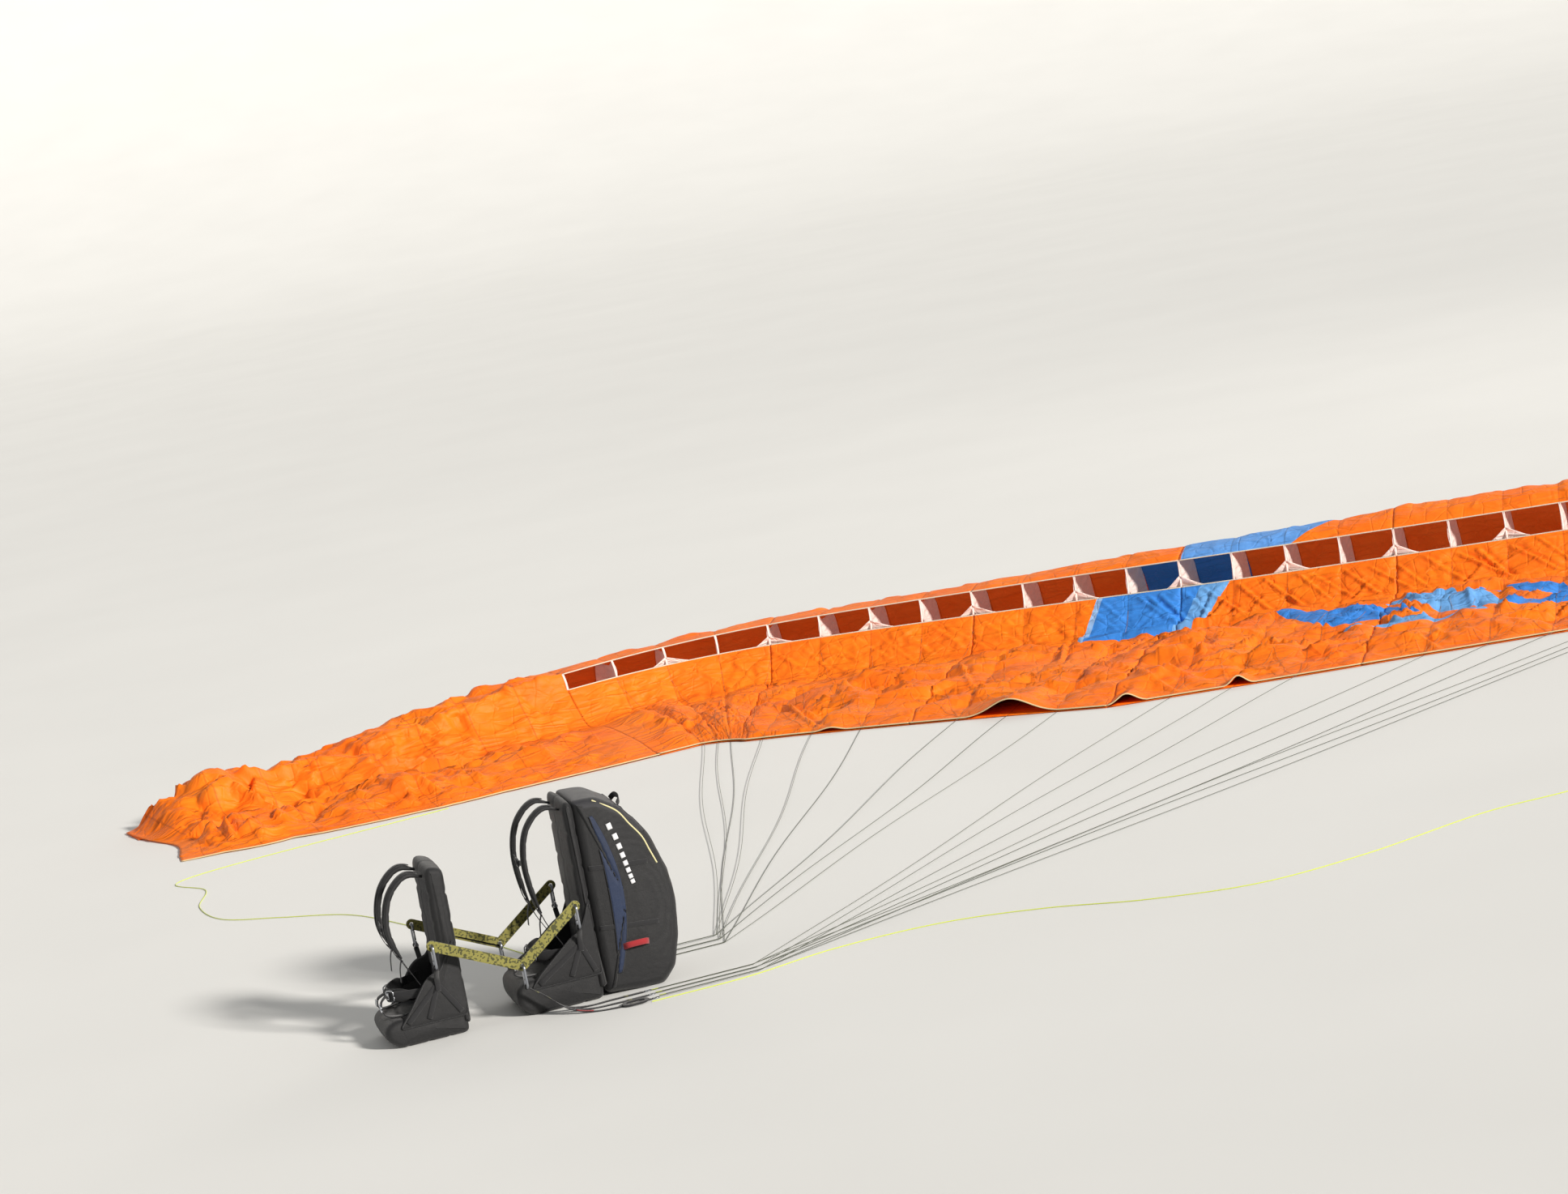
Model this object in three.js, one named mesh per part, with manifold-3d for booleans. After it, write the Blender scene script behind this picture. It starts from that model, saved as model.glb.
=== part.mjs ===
// A two-seat paraglider laid out on level ground, ready to be launched: the ram-air wing in an open arc with its
// leading edge propped up and its air inlets facing the crew's end, the main lines pulled out along the ground, the
// risers, and the pilot's and the passenger's harness standing on their seats, joined by two spreader bars.
//
// Millimetres. +Z is up, flight is towards -Y, and +X is the pilot's left. The origin is the middle of the wing
// and crew's footprint, on the ground.

import * as THREE from "three";
import { mergeVertices } from "three/addons/utils/BufferGeometryUtils.js";
import Module from "manifold-3d";

const wasm = await Module();
wasm.setup();

// Driving dimensions

const CREW = new THREE.Vector2(-449.1, -3460.9); // the pilot's hang axis, seen from above
const LIP_CENTRE = new THREE.Vector2(-218.8, 3249.9); // the middle of the line of air inlets
const CLOTH = 5; // thickness that stands for a layer of cloth
const SEAT_GAP = 0.3; // left between pieces that touch
const CELL = 312; // from rib to rib
const OPEN_CELLS = 24; // cells with an air inlet; the ones outside them are closed and lie crumpled
const SECTION_CELLS = [4, 4, 4, 4, 4, 4]; // cells in each sewn section, from the -X end
const SECTION_NAMES = ["right_outer", "right_mid", "right_inner", "left_inner", "left_mid", "left_outer"];
const TIP_LENGTH = 2700;
const TIP_RINGS = [0, 0.2, 0.45, 0.7, 0.9, 1]; // shares of that length

// The plan curve of the inlets: distance along it from its middle, and its heading in degrees, where 0 is along +X.
const HEADINGS = [
  [-6700, 50],
  [-3500, 50],
  [-2300, 13],
  [0, 8],
  [2300, 12],
  [4600, -46],
  [6700, -52],
];

// The wing's shape along that curve. Columns: distance, height of the inlets' lower lip, height of the inlets,
// rise of the upper skin above them, and depth of the cloth on the ground in front of the lip.
const SPAN_COLUMNS = ["lip", "inlet", "crown", "depth"];
const SPAN_TABLE = [
  [-6600, 60, 20, 20, 700],
  [-6000, 150, 30, 40, 950],
  [-5000, 240, 75, 20, 1250],
  [-3500, 255, 95, 25, 1400],
  [-2000, 255, 125, 45, 1600],
  [0, 250, 150, 65, 1950],
  [1500, 265, 150, 80, 1650],
  [2400, 275, 150, 90, 1500],
  [5000, 240, 75, 30, 1300],
  [6000, 150, 30, 40, 950],
  [6600, 60, 20, 20, 700],
];

// Small helpers

const V3 = (x, y, z) => new THREE.Vector3(x, y, z);
const UP = V3(0, 0, 1);

// A value read off a table of [position, value, value, ...] rows, straight between rows.
function between(table, at, column) {
  const last = table.length - 1;
  if (at <= table[0][0]) return table[0][column];
  if (at >= table[last][0]) return table[last][column];
  const i = table.findIndex((row) => row[0] > at);
  const [low, high] = [table[i - 1], table[i]];
  return THREE.MathUtils.mapLinear(at, low[0], high[0], low[column], high[column]);
}

// A triangle mesh as a closed solid, and back.
function solidOf(geometry) {
  const bare = new THREE.BufferGeometry().setAttribute("position", geometry.getAttribute("position"));
  if (geometry.index) bare.setIndex(geometry.index);
  const merged = mergeVertices(bare, 1e-3);
  return new wasm.Manifold(
    new wasm.Mesh({
      numProp: 3,
      vertProperties: merged.attributes.position.array,
      triVerts: new Uint32Array(merged.index.array),
    })
  );
}

function geometryOf(solid) {
  const mesh = solid.getMesh();
  return new THREE.BufferGeometry()
    .setAttribute("position", new THREE.BufferAttribute(new Float32Array(mesh.vertProperties), 3))
    .setIndex(new THREE.BufferAttribute(new Uint32Array(mesh.triVerts), 1));
}

const joined = (geometries) => geometryOf(wasm.Manifold.union(geometries.map(solidOf)));

// A closed skin through rings of points, each ring the same length, capped at both ends. Its faces point out. On a
// sheet, the ring's second half is the other side of its first, and is split the same way to stay parallel to it.
function loft(rings, isSheet = false) {
  const count = rings[0].length;
  const position = rings.flat().flatMap((p) => [p.x, p.y, p.z]);
  const index = [];
  for (let i = 0; i < rings.length - 1; i++)
    for (let j = 0; j < count; j++) {
      const [a, b] = [i * count + j, i * count + ((j + 1) % count)];
      const otherSide = isSheet && j >= count / 2;
      if (otherSide) index.push(a, b, a + count, b, b + count, a + count);
      else index.push(a, b, b + count, a, b + count, a + count);
    }
  const cap = (ring, offset, flip) => {
    const normal = V3(0, 0, 0);
    ring.forEach((p, i) => normal.add(p.clone().cross(ring[(i + 1) % count])));
    const across = ring[1].clone().sub(ring[0]).normalize();
    const up = normal.clone().normalize().cross(across);
    const flat = ring.map((p) => new THREE.Vector2(p.dot(across), p.dot(up)));
    for (const [a, b, c] of THREE.ShapeUtils.triangulateShape(flat, []))
      index.push(...(flip ? [offset + c, offset + b, offset + a] : [offset + a, offset + b, offset + c]));
  };
  cap(rings[0], 0, true);
  cap(rings[rings.length - 1], (rings.length - 1) * count, false);
  return facingOut(position, index);
}

function facingOut(position, index) {
  const at = (i) => V3(position[3 * i], position[3 * i + 1], position[3 * i + 2]);
  let volume = 0;
  for (let i = 0; i < index.length; i += 3)
    volume += at(index[i]).dot(at(index[i + 1]).cross(at(index[i + 2])));
  if (volume < 0) for (let i = 0; i < index.length; i += 3) [index[i], index[i + 1]] = [index[i + 1], index[i]];
  return new THREE.BufferGeometry()
    .setAttribute("position", new THREE.BufferAttribute(new Float32Array(position), 3))
    .setIndex(index);
}

// A flat strap that follows points, its width along `side` wherever that is square to it.
function strap(points, side, width, thickness) {
  const rings = points.map((p, i) => {
    const ahead = points[Math.min(i + 1, points.length - 1)].clone();
    const tangent = ahead.sub(points[Math.max(i - 1, 0)]).normalize();
    const across = side.clone().addScaledVector(tangent, -side.dot(tangent)).normalize();
    const out = tangent.clone().cross(across);
    return [
      [1, 1],
      [-1, 1],
      [-1, -1],
      [1, -1],
    ].map(([w, t]) =>
      p
        .clone()
        .addScaledVector(across, (w * width) / 2)
        .addScaledVector(out, (t * thickness) / 2)
    );
  });
  return loft(rings);
}

// Points on a smooth curve through the ones given.
const smooth = (points, steps) => new THREE.CatmullRomCurve3(points, false, "centripetal").getSpacedPoints(steps);

// A round cord along points.
function cord(points, radius, sides) {
  const last = points.length - 1;
  return loft(
    points.map((p, i) => {
      const tangent = points[Math.min(i + 1, last)].clone().sub(points[Math.max(i - 1, 0)]).normalize();
      const across = tangent.clone().cross(UP).normalize();
      const out = across.clone().cross(tangent);
      return Array.from({ length: sides }, (_, k) => {
        const turn = (2 * Math.PI * (k + 0.5)) / sides;
        return p
          .clone()
          .addScaledVector(across, radius * Math.cos(turn))
          .addScaledVector(out, radius * Math.sin(turn));
      });
    })
  );
}

// A plate cut to an outline in the plane of `across` and `up`, of a thickness centred on `origin`.
function plate(outline, holes, thickness, origin, across, up) {
  const shape = new THREE.Shape(outline.map(([x, y]) => new THREE.Vector2(x, y)));
  shape.holes = holes;
  const normal = across.clone().cross(up).normalize();
  return new THREE.ExtrudeGeometry(shape, { depth: thickness, bevelEnabled: false, curveSegments: 10 })
    .translate(0, 0, -thickness / 2)
    .applyMatrix4(new THREE.Matrix4().makeBasis(across, up, normal).setPosition(origin));
}

const roundHole = (x, y, radius) => new THREE.Path().absarc(x, y, radius, 0, 2 * Math.PI);

// Materials, from the photograph

const material = (color, roughness, metalness = 0) =>
  new THREE.MeshStandardMaterial({ color, roughness, metalness });
const ORANGE_CLOTH = material("#f2701a", 0.6);
const BLACK_CLOTH = material("#17181b", 0.85);
const BLACK_WEBBING = material("#1d1d20", 0.8);
const OLIVE_WEBBING = material("#8b8747", 0.8);
const YELLOW_LINE = material("#cfd35a", 0.7);
const DARK_LINE = material("#3a3d34", 0.7);
const STEEL = material("#b4b7bb", 0.3, 1);
const ALUMINIUM = material("#8f949b", 0.35, 1);

const paraglider = new THREE.Group();

function add(name, geometry, finish) {
  const mesh = new THREE.Mesh(geometry, finish);
  mesh.name = name;
  paraglider.add(mesh);
}

// The wing's plan: a station is a point on the lip with its own directions along the span and forward

const PLAN_STEP = 20;

function station(s, shift = 0) {
  const at = LIP_CENTRE.clone();
  const steps = Math.max(1, Math.round(Math.abs(s) / PLAN_STEP));
  for (let i = 0; i < steps; i++) {
    const turn = THREE.MathUtils.degToRad(between(HEADINGS, ((i + 0.5) / steps) * s, 1));
    at.add(new THREE.Vector2(Math.cos(turn), Math.sin(turn)).multiplyScalar(s / steps));
  }
  const turn = THREE.MathUtils.degToRad(between(HEADINGS, s, 1));
  const along = V3(Math.cos(turn), Math.sin(turn), 0);
  const forward = V3(Math.sin(turn), -Math.cos(turn), 0);
  const origin = V3(at.x, at.y, 0).addScaledVector(along, shift);
  const place = ([u, z]) => origin.clone().addScaledVector(forward, u).addScaledVector(UP, z);
  return { s, along, forward, origin, place };
}

// The section of the wing at a station, as [forward, up] points. The lower skin runs from the lip down to a crease on
// the ground and on to the trailing edge. The upper skin runs from above the inlet back over the nose, down to the
// ground and forward again under the lower one. `puff` swells both between ribs.
const CREASE_FORWARD = 260;
const RIB_GAP = 0.5;
const RIB_BELOW_LIP = 0.08; // share of the way from the lip to the middle of the front face

function wingSection(s, puff = 0) {
  const { lip, inlet, crown, depth } = Object.fromEntries(
    SPAN_COLUMNS.map((name, i) => [name, between(SPAN_TABLE, s, i + 1)])
  );
  const top = lip + inlet;
  const band = depth - CREASE_FORWARD;
  const hem = 2 * CLOTH + 0.5;
  const lower = [
    [0, lip],
    [0.45 * CREASE_FORWARD + puff, 0.55 * lip + puff],
    [CREASE_FORWARD, 55],
    [CREASE_FORWARD + 0.3 * band, 85 + puff],
    [CREASE_FORWARD + 0.7 * band, 55 + puff],
    [depth - 60, hem],
    [depth, hem],
  ];
  const upper = [
    [-40, top],
    [-110, top + 0.7 * crown + puff],
    [-240, top + crown + puff],
    [-380, top - 30 + puff],
    [-470 - puff, 0.45 * top],
    [-450, 0],
    [-200, 0],
    [depth, 0],
  ];
  return { lower, upper, lip, inlet, depth };
}

// A line of [forward, up] points moved to its right by a distance, along its own normals.
function inset(line, distance) {
  return line.map(([u, z], i) => {
    const [before, after] = [line[Math.max(i - 1, 0)], line[Math.min(i + 1, line.length - 1)]];
    const [du, dz] = [after[0] - before[0], after[1] - before[1]];
    const length = Math.hypot(du, dz);
    return [u + (distance * dz) / length, z - (distance * du) / length];
  });
}

// Cloth between stations: each station gives its outer line, and the inner one lies a cloth's thickness inside it.
function skin(stations, lineOf, side) {
  return loft(
    stations.map((st) => {
      const outer = lineOf(st);
      const inner = inset(outer, side * CLOTH);
      return [...outer, ...inner.reverse()].map(st.place);
    }),
    true
  );
}

// A rib: a sheet across the wing from the inlet to past the middle of the cloth, clear of the upper skin. Its lower
// edge runs inside the cloth of the lower skin and starts a little below the lip.
function rib(st) {
  const { lower, upper } = wingSection(st.s);
  const [lip, middle] = lower;
  const start = [0, 1].map((k) => THREE.MathUtils.lerp(lip[k], middle[k], RIB_BELOW_LIP));
  const under = inset([start, ...lower.slice(1)], CLOTH / 2).slice(0, 5);
  const inside = inset(upper, -(CLOTH + RIB_GAP)).slice(0, 7);
  const end = [under[4][0], CLOTH + RIB_GAP];
  const outline = [...under, end, ...inside.reverse()];
  return plate(outline, [], CLOTH, st.origin, st.forward, UP);
}

const PUFF = 12; // how far a cell's middle swells past its ribs
const TIP_START = (OPEN_CELLS / 2) * CELL;
let firstRib = -OPEN_CELLS / 2;
SECTION_CELLS.forEach((cells, n) => {
  const stations = [];
  const ribs = [];
  for (let i = 0; i <= cells; i++) {
    const s = (firstRib + i) * CELL;
    const edge = i === 0 ? 1 : i === cells ? -1 : 0;
    stations.push({ ...station(s, (edge * SEAT_GAP) / 2), puff: 0 });
    if (i < cells) stations.push({ ...station(s + CELL / 2), puff: PUFF });
    if (i < cells || n === SECTION_CELLS.length - 1) ribs.push(rib(station(s, edge * CLOTH)));
  }
  const lower = skin(stations, (st) => wingSection(st.s, st.puff).lower, 1);
  const upper = skin(stations, (st) => wingSection(st.s, st.puff).upper, -1);
  add("lower_skin_and_ribs_" + SECTION_NAMES[n], joined([lower, ...ribs]), ORANGE_CLOTH);
  add("upper_skin_" + SECTION_NAMES[n], upper, ORANGE_CLOTH);
  firstRib += cells;
});

// The closed cells at each tip: one skin from the trailing edge over the nose and back underneath, open behind.
for (const [name, side] of [
  ["right", -1],
  ["left", 1],
]) {
  const stations = TIP_RINGS.map((share) => station(side * (TIP_START + share * TIP_LENGTH), (side * SEAT_GAP) / 2));
  const around = (st) => {
    const { lower, upper } = wingSection(st.s);
    return [...lower.slice().reverse(), ...upper];
  };
  add("wing_tip_" + name, skin(stations, around, -1), ORANGE_CLOTH);
}

// The crew's rig faces away from the wing, turned towards -X. Its own directions: ahead, to its left, and up
const RIG_TURN = THREE.MathUtils.degToRad(48);
const AHEAD = V3(-Math.sin(RIG_TURN), -Math.cos(RIG_TURN), 0);
const LEFT = V3(Math.cos(RIG_TURN), -Math.sin(RIG_TURN), 0);
const rig = (ahead, left, up) =>
  V3(CREW.x, CREW.y, up).addScaledVector(AHEAD, ahead).addScaledVector(LEFT, left);
const SIDES = [
  ["left", 1],
  ["right", -1],
];

// Carabiners: an oval of square bar with a gate in its inner side. The bar at each end runs to the rig's left.
const BAR = 11;
const OVAL = { width: 60, length: 104, corner: 16 };
const BOWS_APART = OVAL.length - BAR;
const HANG_OUT = 255; // from the rig's middle to each carabiner
const HANG = { pilot: [0, 340], passenger: [620, 320] }; // ahead and up, at the lower bow
const APEX = [265, 240]; // ahead and up, where the spreader bars turn on the main carabiners
const EYE = 8.6; // radius of a round eye that turns on the bar
// The gap in the bar for the gate, from its middle, and the gate's clearance from it below and above.
const GATE = { low: -24, high: 24, foot: 2, head: 0.5, thickness: 9 };

function stadium(width, length) {
  const straight = length / 2 - width / 2;
  const path = new THREE.Shape();
  path.absarc(0, straight, width / 2, 0, Math.PI);
  path.absarc(0, -straight, width / 2, Math.PI, 2 * Math.PI);
  return path;
}

function roundedBox(width, length, radius) {
  const [x, y] = [width / 2 - radius, length / 2 - radius];
  const path = new THREE.Shape();
  path.absarc(x, y, radius, 0, Math.PI / 2);
  path.absarc(-x, y, radius, Math.PI / 2, Math.PI);
  path.absarc(-x, -y, radius, Math.PI, 1.5 * Math.PI);
  path.absarc(x, -y, radius, 1.5 * Math.PI, 2 * Math.PI);
  return path;
}

function carabiner(name, [ahead, middle], side) {
  const origin = rig(ahead, side * HANG_OUT, middle);
  const inward = LEFT.clone().multiplyScalar(-side);
  const frame = new THREE.Matrix4()
    .makeBasis(inward, UP, inward.clone().cross(UP))
    .setPosition(origin);
  const shape = roundedBox(OVAL.width, OVAL.length, OVAL.corner);
  shape.holes = [roundedBox(OVAL.width - 2 * BAR, OVAL.length - 2 * BAR, OVAL.corner - BAR)];
  const ring = new THREE.ExtrudeGeometry(shape, { depth: BAR, bevelEnabled: false, curveSegments: 3 })
    .translate(0, 0, -BAR / 2)
    .applyMatrix4(frame);
  const barAt = (OVAL.width - BAR) / 2;
  const opening = new THREE.BoxGeometry(BAR + 4, GATE.high - GATE.low, BAR + 4)
    .translate(barAt, (GATE.high + GATE.low) / 2, 0)
    .applyMatrix4(frame);
  add("carabiner_" + name, geometryOf(solidOf(ring).subtract(solidOf(opening))), ALUMINIUM);
  const [gateLow, gateHigh] = [GATE.low + GATE.foot, GATE.high - GATE.head];
  const gate = new THREE.BoxGeometry(GATE.thickness, gateHigh - gateLow, GATE.thickness)
    .translate(barAt, (gateHigh + gateLow) / 2, 0)
    .applyMatrix4(frame);
  add("gate_" + name, gate, ALUMINIUM);
}

for (const [side, sign] of SIDES) {
  carabiner("main_" + side, [APEX[0], APEX[1] - BOWS_APART / 2], sign);
  for (const who of ["pilot", "passenger"])
    carabiner(who + "_" + side, [HANG[who][0], HANG[who][1] + BOWS_APART / 2], sign);
}

// Spreader bars: a vee of webbing-covered plate with an eye for each carabiner
const ARM_WIDTH = 44;
const PLATE = 8;

for (const [side, sign] of SIDES) {
  const ends = ["pilot", "passenger"].map((who) => [HANG[who][0], HANG[who][1] + BOWS_APART]);
  const origin = rig(0, sign * HANG_OUT, 0);
  const arms = ends.map(([ahead, up]) => {
    const length = Math.hypot(ahead - APEX[0], up - APEX[1]);
    const turn = Math.atan2(up - APEX[1], ahead - APEX[0]) - Math.PI / 2;
    const shape = stadium(ARM_WIDTH, length + ARM_WIDTH);
    return new THREE.ExtrudeGeometry(shape, { depth: PLATE, bevelEnabled: false, curveSegments: 4 })
      .translate(0, length / 2, -PLATE / 2)
      .rotateZ(turn)
      .translate(APEX[0], APEX[1], 0)
      .applyMatrix4(new THREE.Matrix4().makeBasis(AHEAD, UP, AHEAD.clone().cross(UP)).setPosition(origin));
  });
  const eyes = [APEX, ...ends].map(([ahead, up]) =>
    new THREE.CylinderGeometry(EYE, EYE, 4 * PLATE, 12)
      .applyQuaternion(new THREE.Quaternion().setFromUnitVectors(V3(0, 1, 0), LEFT))
      .translate(...rig(ahead, sign * HANG_OUT, up).toArray())
  );
  const vee = wasm.Manifold.union(arms.map(solidOf)).subtract(wasm.Manifold.union(eyes.map(solidOf)));
  add("spreader_bar_" + side, geometryOf(vee), OLIVE_WEBBING);
}

// Webbing eye around the lower bow of a carabiner, its hole along the rig's left
const EYE_WALL = 3;
const WEB = 22;

function webbingEye(ahead, left, up) {
  const hole = roundHole(0, 0, EYE);
  const rim = new THREE.Shape().absarc(0, 0, EYE + EYE_WALL, 0, 2 * Math.PI);
  rim.holes = [hole];
  const frame = new THREE.Matrix4().makeBasis(AHEAD, UP, AHEAD.clone().cross(UP)).setPosition(rig(ahead, left, up));
  return new THREE.ExtrudeGeometry(rim, { depth: WEB, bevelEnabled: false, curveSegments: 4 })
    .translate(0, 0, -WEB / 2)
    .applyMatrix4(frame);
}

// Risers: three legs a side from an eye on the main carabiner, down to the ground and back towards the wing
const RISER = { width: 20, thickness: 3, clear: 1 };
const RISER_ROWS = ["a", "b", "c"];
const RISER_SPREAD = 75; // between the legs' ends
const MAILLON = { width: 20, length: 34, wire: 4 };
const MAIN_EYE_UP = APEX[1] - BOWS_APART;
const riserEnds = {};

for (const [side, sign] of SIDES) {
  const legs = RISER_ROWS.map((row, i) => {
    const out = HANG_OUT + 70 + (i - 1) * RISER_SPREAD;
    const floor = RISER.thickness / 2 + RISER.clear;
    const points = smooth(
      [
        rig(APEX[0] - 8, sign * HANG_OUT, MAIN_EYE_UP - EYE - 1),
        rig(APEX[0] - 60, sign * (HANG_OUT + 8), MAIN_EYE_UP - 50),
        rig(APEX[0] - 150, sign * (HANG_OUT + (out - HANG_OUT) * 0.4), 22),
        rig(APEX[0] - 240, sign * (HANG_OUT + (out - HANG_OUT) * 0.75), floor),
        rig(APEX[0] - 340, sign * out, floor),
        rig(APEX[0] - 480, sign * out, floor),
      ],
      9
    );
    const end = points[points.length - 1];
    const lead = end.clone().sub(points[points.length - 2]).setZ(0).normalize();
    riserEnds[row + side] = { end, lead };
    return strap(points, LEFT, RISER.width, RISER.thickness);
  });
  const eye = webbingEye(APEX[0], sign * HANG_OUT, MAIN_EYE_UP);
  add("risers_" + side, joined([eye, ...legs]), BLACK_WEBBING);
}

// Maillons lie flat at the risers' ends
for (const [side] of SIDES)
  for (const row of RISER_ROWS) {
    const { end, lead } = riserEnds[row + side];
    const shape = stadium(MAILLON.width, MAILLON.length);
    shape.holes = [stadium(MAILLON.width - 2 * MAILLON.wire, MAILLON.length - 2 * MAILLON.wire)];
    const origin = end.clone().addScaledVector(lead, MAILLON.length / 2 + SEAT_GAP).setZ(MAILLON.wire / 2);
    const frame = new THREE.Matrix4().makeBasis(lead.clone().cross(UP), lead, UP).setPosition(origin);
    const link = new THREE.ExtrudeGeometry(shape, { depth: MAILLON.wire, bevelEnabled: false, curveSegments: 3 })
      .translate(0, 0, -MAILLON.wire / 2)
      .applyMatrix4(frame);
    add("maillon_" + row + "_" + side, link, STEEL);
  }

const HEM_GAP = 0.85; // between a line and the trailing edge that it is sewn to

// The point where a line from a place on the ground ends against the trailing edge at a station.
function againstHem(st, from, radius, height) {
  const { depth } = wingSection(st.s);
  const run = st.place([depth, height]).sub(from).normalize();
  return st.place([depth + HEM_GAP + radius * Math.sqrt(1 - run.dot(st.forward) ** 2), height]);
}

// A flat star of straight strips that meet at a point: each ray is where one ends, in order of bearing.
function star(centre, rays, width, thickness) {
  const middle = new THREE.Vector2(centre.x, centre.y);
  const ways = rays
    .map((end) => new THREE.Vector2(end.x, end.y).sub(middle))
    .sort((one, other) => one.angle() - other.angle());
  const units = ways.map((way) => way.clone().normalize());
  const outline = ways.flatMap((way, i) => {
    const unit = units[i];
    const next = units[(i + 1) % ways.length];
    const side = new THREE.Vector2(-unit.y, unit.x).multiplyScalar(width / 2);
    const corner = unit.clone().add(next).multiplyScalar(width / 2 / unit.cross(next));
    return [way.clone().sub(side), way.clone().add(side), corner];
  });
  return new THREE.ExtrudeGeometry(new THREE.Shape(outline), { depth: thickness, bevelEnabled: false }).translate(
    centre.x,
    centre.y,
    centre.z - thickness / 2
  );
}

// Main lines: three from each maillon, along the ground to the wing's trailing edge. The rows cross over each other
const LINE_WIDTH = 2.5;
const LINE_HEIGHT = { a: 2, b: 5.5, c: 9 };
const LINE_RIBS = { a: [1, 5, 9], b: [2, 6, 10], c: [3, 7, 11] }; // the ribs they end at, from the wing's middle
const KNOT = { width: 7, length: 30, low: 0.5, rise: 2 };
const BUNDLE = 450; // how far a row's lines run together

for (const [side, sign] of SIDES)
  for (const row of RISER_ROWS) {
    const { end, lead } = riserEnds[row + side];
    const height = LINE_HEIGHT[row];
    const start = end.clone().addScaledVector(lead, MAILLON.length + 2 * SEAT_GAP).setZ(height);
    const along = (distance) => start.clone().addScaledVector(lead, distance);
    const ends = LINE_RIBS[row].map((number) =>
      againstHem(station(sign * number * CELL), along(BUNDLE), LINE_WIDTH / 2, height)
    );
    const lines = star(along(BUNDLE), [along(KNOT.length / 2), ...ends], LINE_WIDTH, LINE_WIDTH);
    const knotTop = height + KNOT.rise;
    const knot = new THREE.BoxGeometry(KNOT.width, KNOT.length, knotTop - KNOT.low)
      .rotateZ(Math.atan2(lead.y, lead.x) - Math.PI / 2)
      .translate(...along(KNOT.length / 2).setZ((knotTop + KNOT.low) / 2).toArray());
    add("main_lines_" + row + "_" + side, joined([lines, knot]), DARK_LINE);
  }

// Brake handles: a flat loop of webbing on top of the rear riser's leg
const HANDLE = { width: 80, length: 120, webbing: 20, thickness: 6 };

for (const [side] of SIDES) {
  const { end, lead } = riserEnds["c" + side];
  const shape = stadium(HANDLE.width, HANDLE.length);
  shape.holes = [stadium(HANDLE.width - 2 * HANDLE.webbing, HANDLE.length - 2 * HANDLE.webbing)];
  const height = RISER.clear + RISER.thickness + SEAT_GAP + HANDLE.thickness / 2;
  const origin = end.clone().addScaledVector(lead, -HANDLE.length / 2 - 10).setZ(height);
  const frame = new THREE.Matrix4().makeBasis(lead.clone().cross(UP), lead, UP).setPosition(origin);
  const loop = new THREE.ExtrudeGeometry(shape, { depth: HANDLE.thickness, bevelEnabled: false, curveSegments: 4 })
    .translate(0, 0, -HANDLE.thickness / 2)
    .applyMatrix4(frame);
  add("brake_handle_" + side, loop, BLACK_WEBBING);
}

// Brake lines: a slack line a side, along the ground from the handle to the trailing edge by the tip. The route is
// a list of [x, y] points from the pilot's hang axis, between the handle and the wing.
const BRAKE_RADIUS = 2;
const BRAKE_END_RADIUS = 1.4; // of its cut end, which meets the hem at an angle
const BRAKE_HEIGHT = BRAKE_RADIUS + 0.1;
const BRAKE_ROUTES = {
  left: [
    [750, 90],
    [1000, 450],
    [1380, 750],
    [1800, 870],
    [2250, 900],
    [2700, 1040],
    [3050, 1390],
    [3400, 1940],
    [3850, 2430],
  ],
  right: [
    [-560, 600],
    [-1060, 930],
    [-1700, 1300],
    [-2270, 1600],
    [-2700, 1640],
    [-3070, 1680],
    [-3420, 1960],
    [-3640, 2320],
    [-3970, 2520],
  ],
};
const BRAKE_END = TIP_START + TIP_RINGS[2] * TIP_LENGTH; // along the wing
const BRAKE_STEPS = 48;

for (const [side, sign] of SIDES) {
  const { end, lead } = riserEnds["c" + side];
  const outward = lead.clone().cross(UP).multiplyScalar(sign);
  const start = end.clone().addScaledVector(lead, -10).addScaledVector(outward, HANDLE.width / 2 + BRAKE_RADIUS);
  const route = [start, ...BRAKE_ROUTES[side].map(([x, y]) => V3(CREW.x + x, CREW.y + y, 0))];
  route.forEach((p) => p.setZ(BRAKE_HEIGHT));
  const tip = station(sign * BRAKE_END);
  route.push(againstHem(tip, route[route.length - 1], BRAKE_END_RADIUS, BRAKE_HEIGHT));
  const points = smooth(route, BRAKE_STEPS);
  add("brake_line_" + side, cord(points, BRAKE_RADIUS, 8), YELLOW_LINE);
}

// Harnesses. Each is a padded seat and back with a plate of webbing and cloth at each hip, and stands on its seat.
// Outlines are [ahead, up] from the hang axis, and widths are to the left and right of the rig's middle.
const HARNESS = {
  pilot: { half: 190, back: [-75, -30], top: 860, seat: [300, 150], hip: 300, shoulder: 95 },
  passenger: { half: 180, back: [-110, -30], top: 720, seat: [250, 120], hip: 280, shoulder: 90 },
};
const HIP_PLATE = 12;
const HIP_PROUD = 2; // how far a hip plate stands out past the seat's side
const BACK_LEAN = 10; // how much further back the top of a back is than its foot

// An outline drawn ahead and up, extruded across the rig's middle, or centred at a place to its left.
function across(outline, width, from, left = 0) {
  return plate(outline, [], width, rig(from, left, 0), AHEAD, UP);
}

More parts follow.
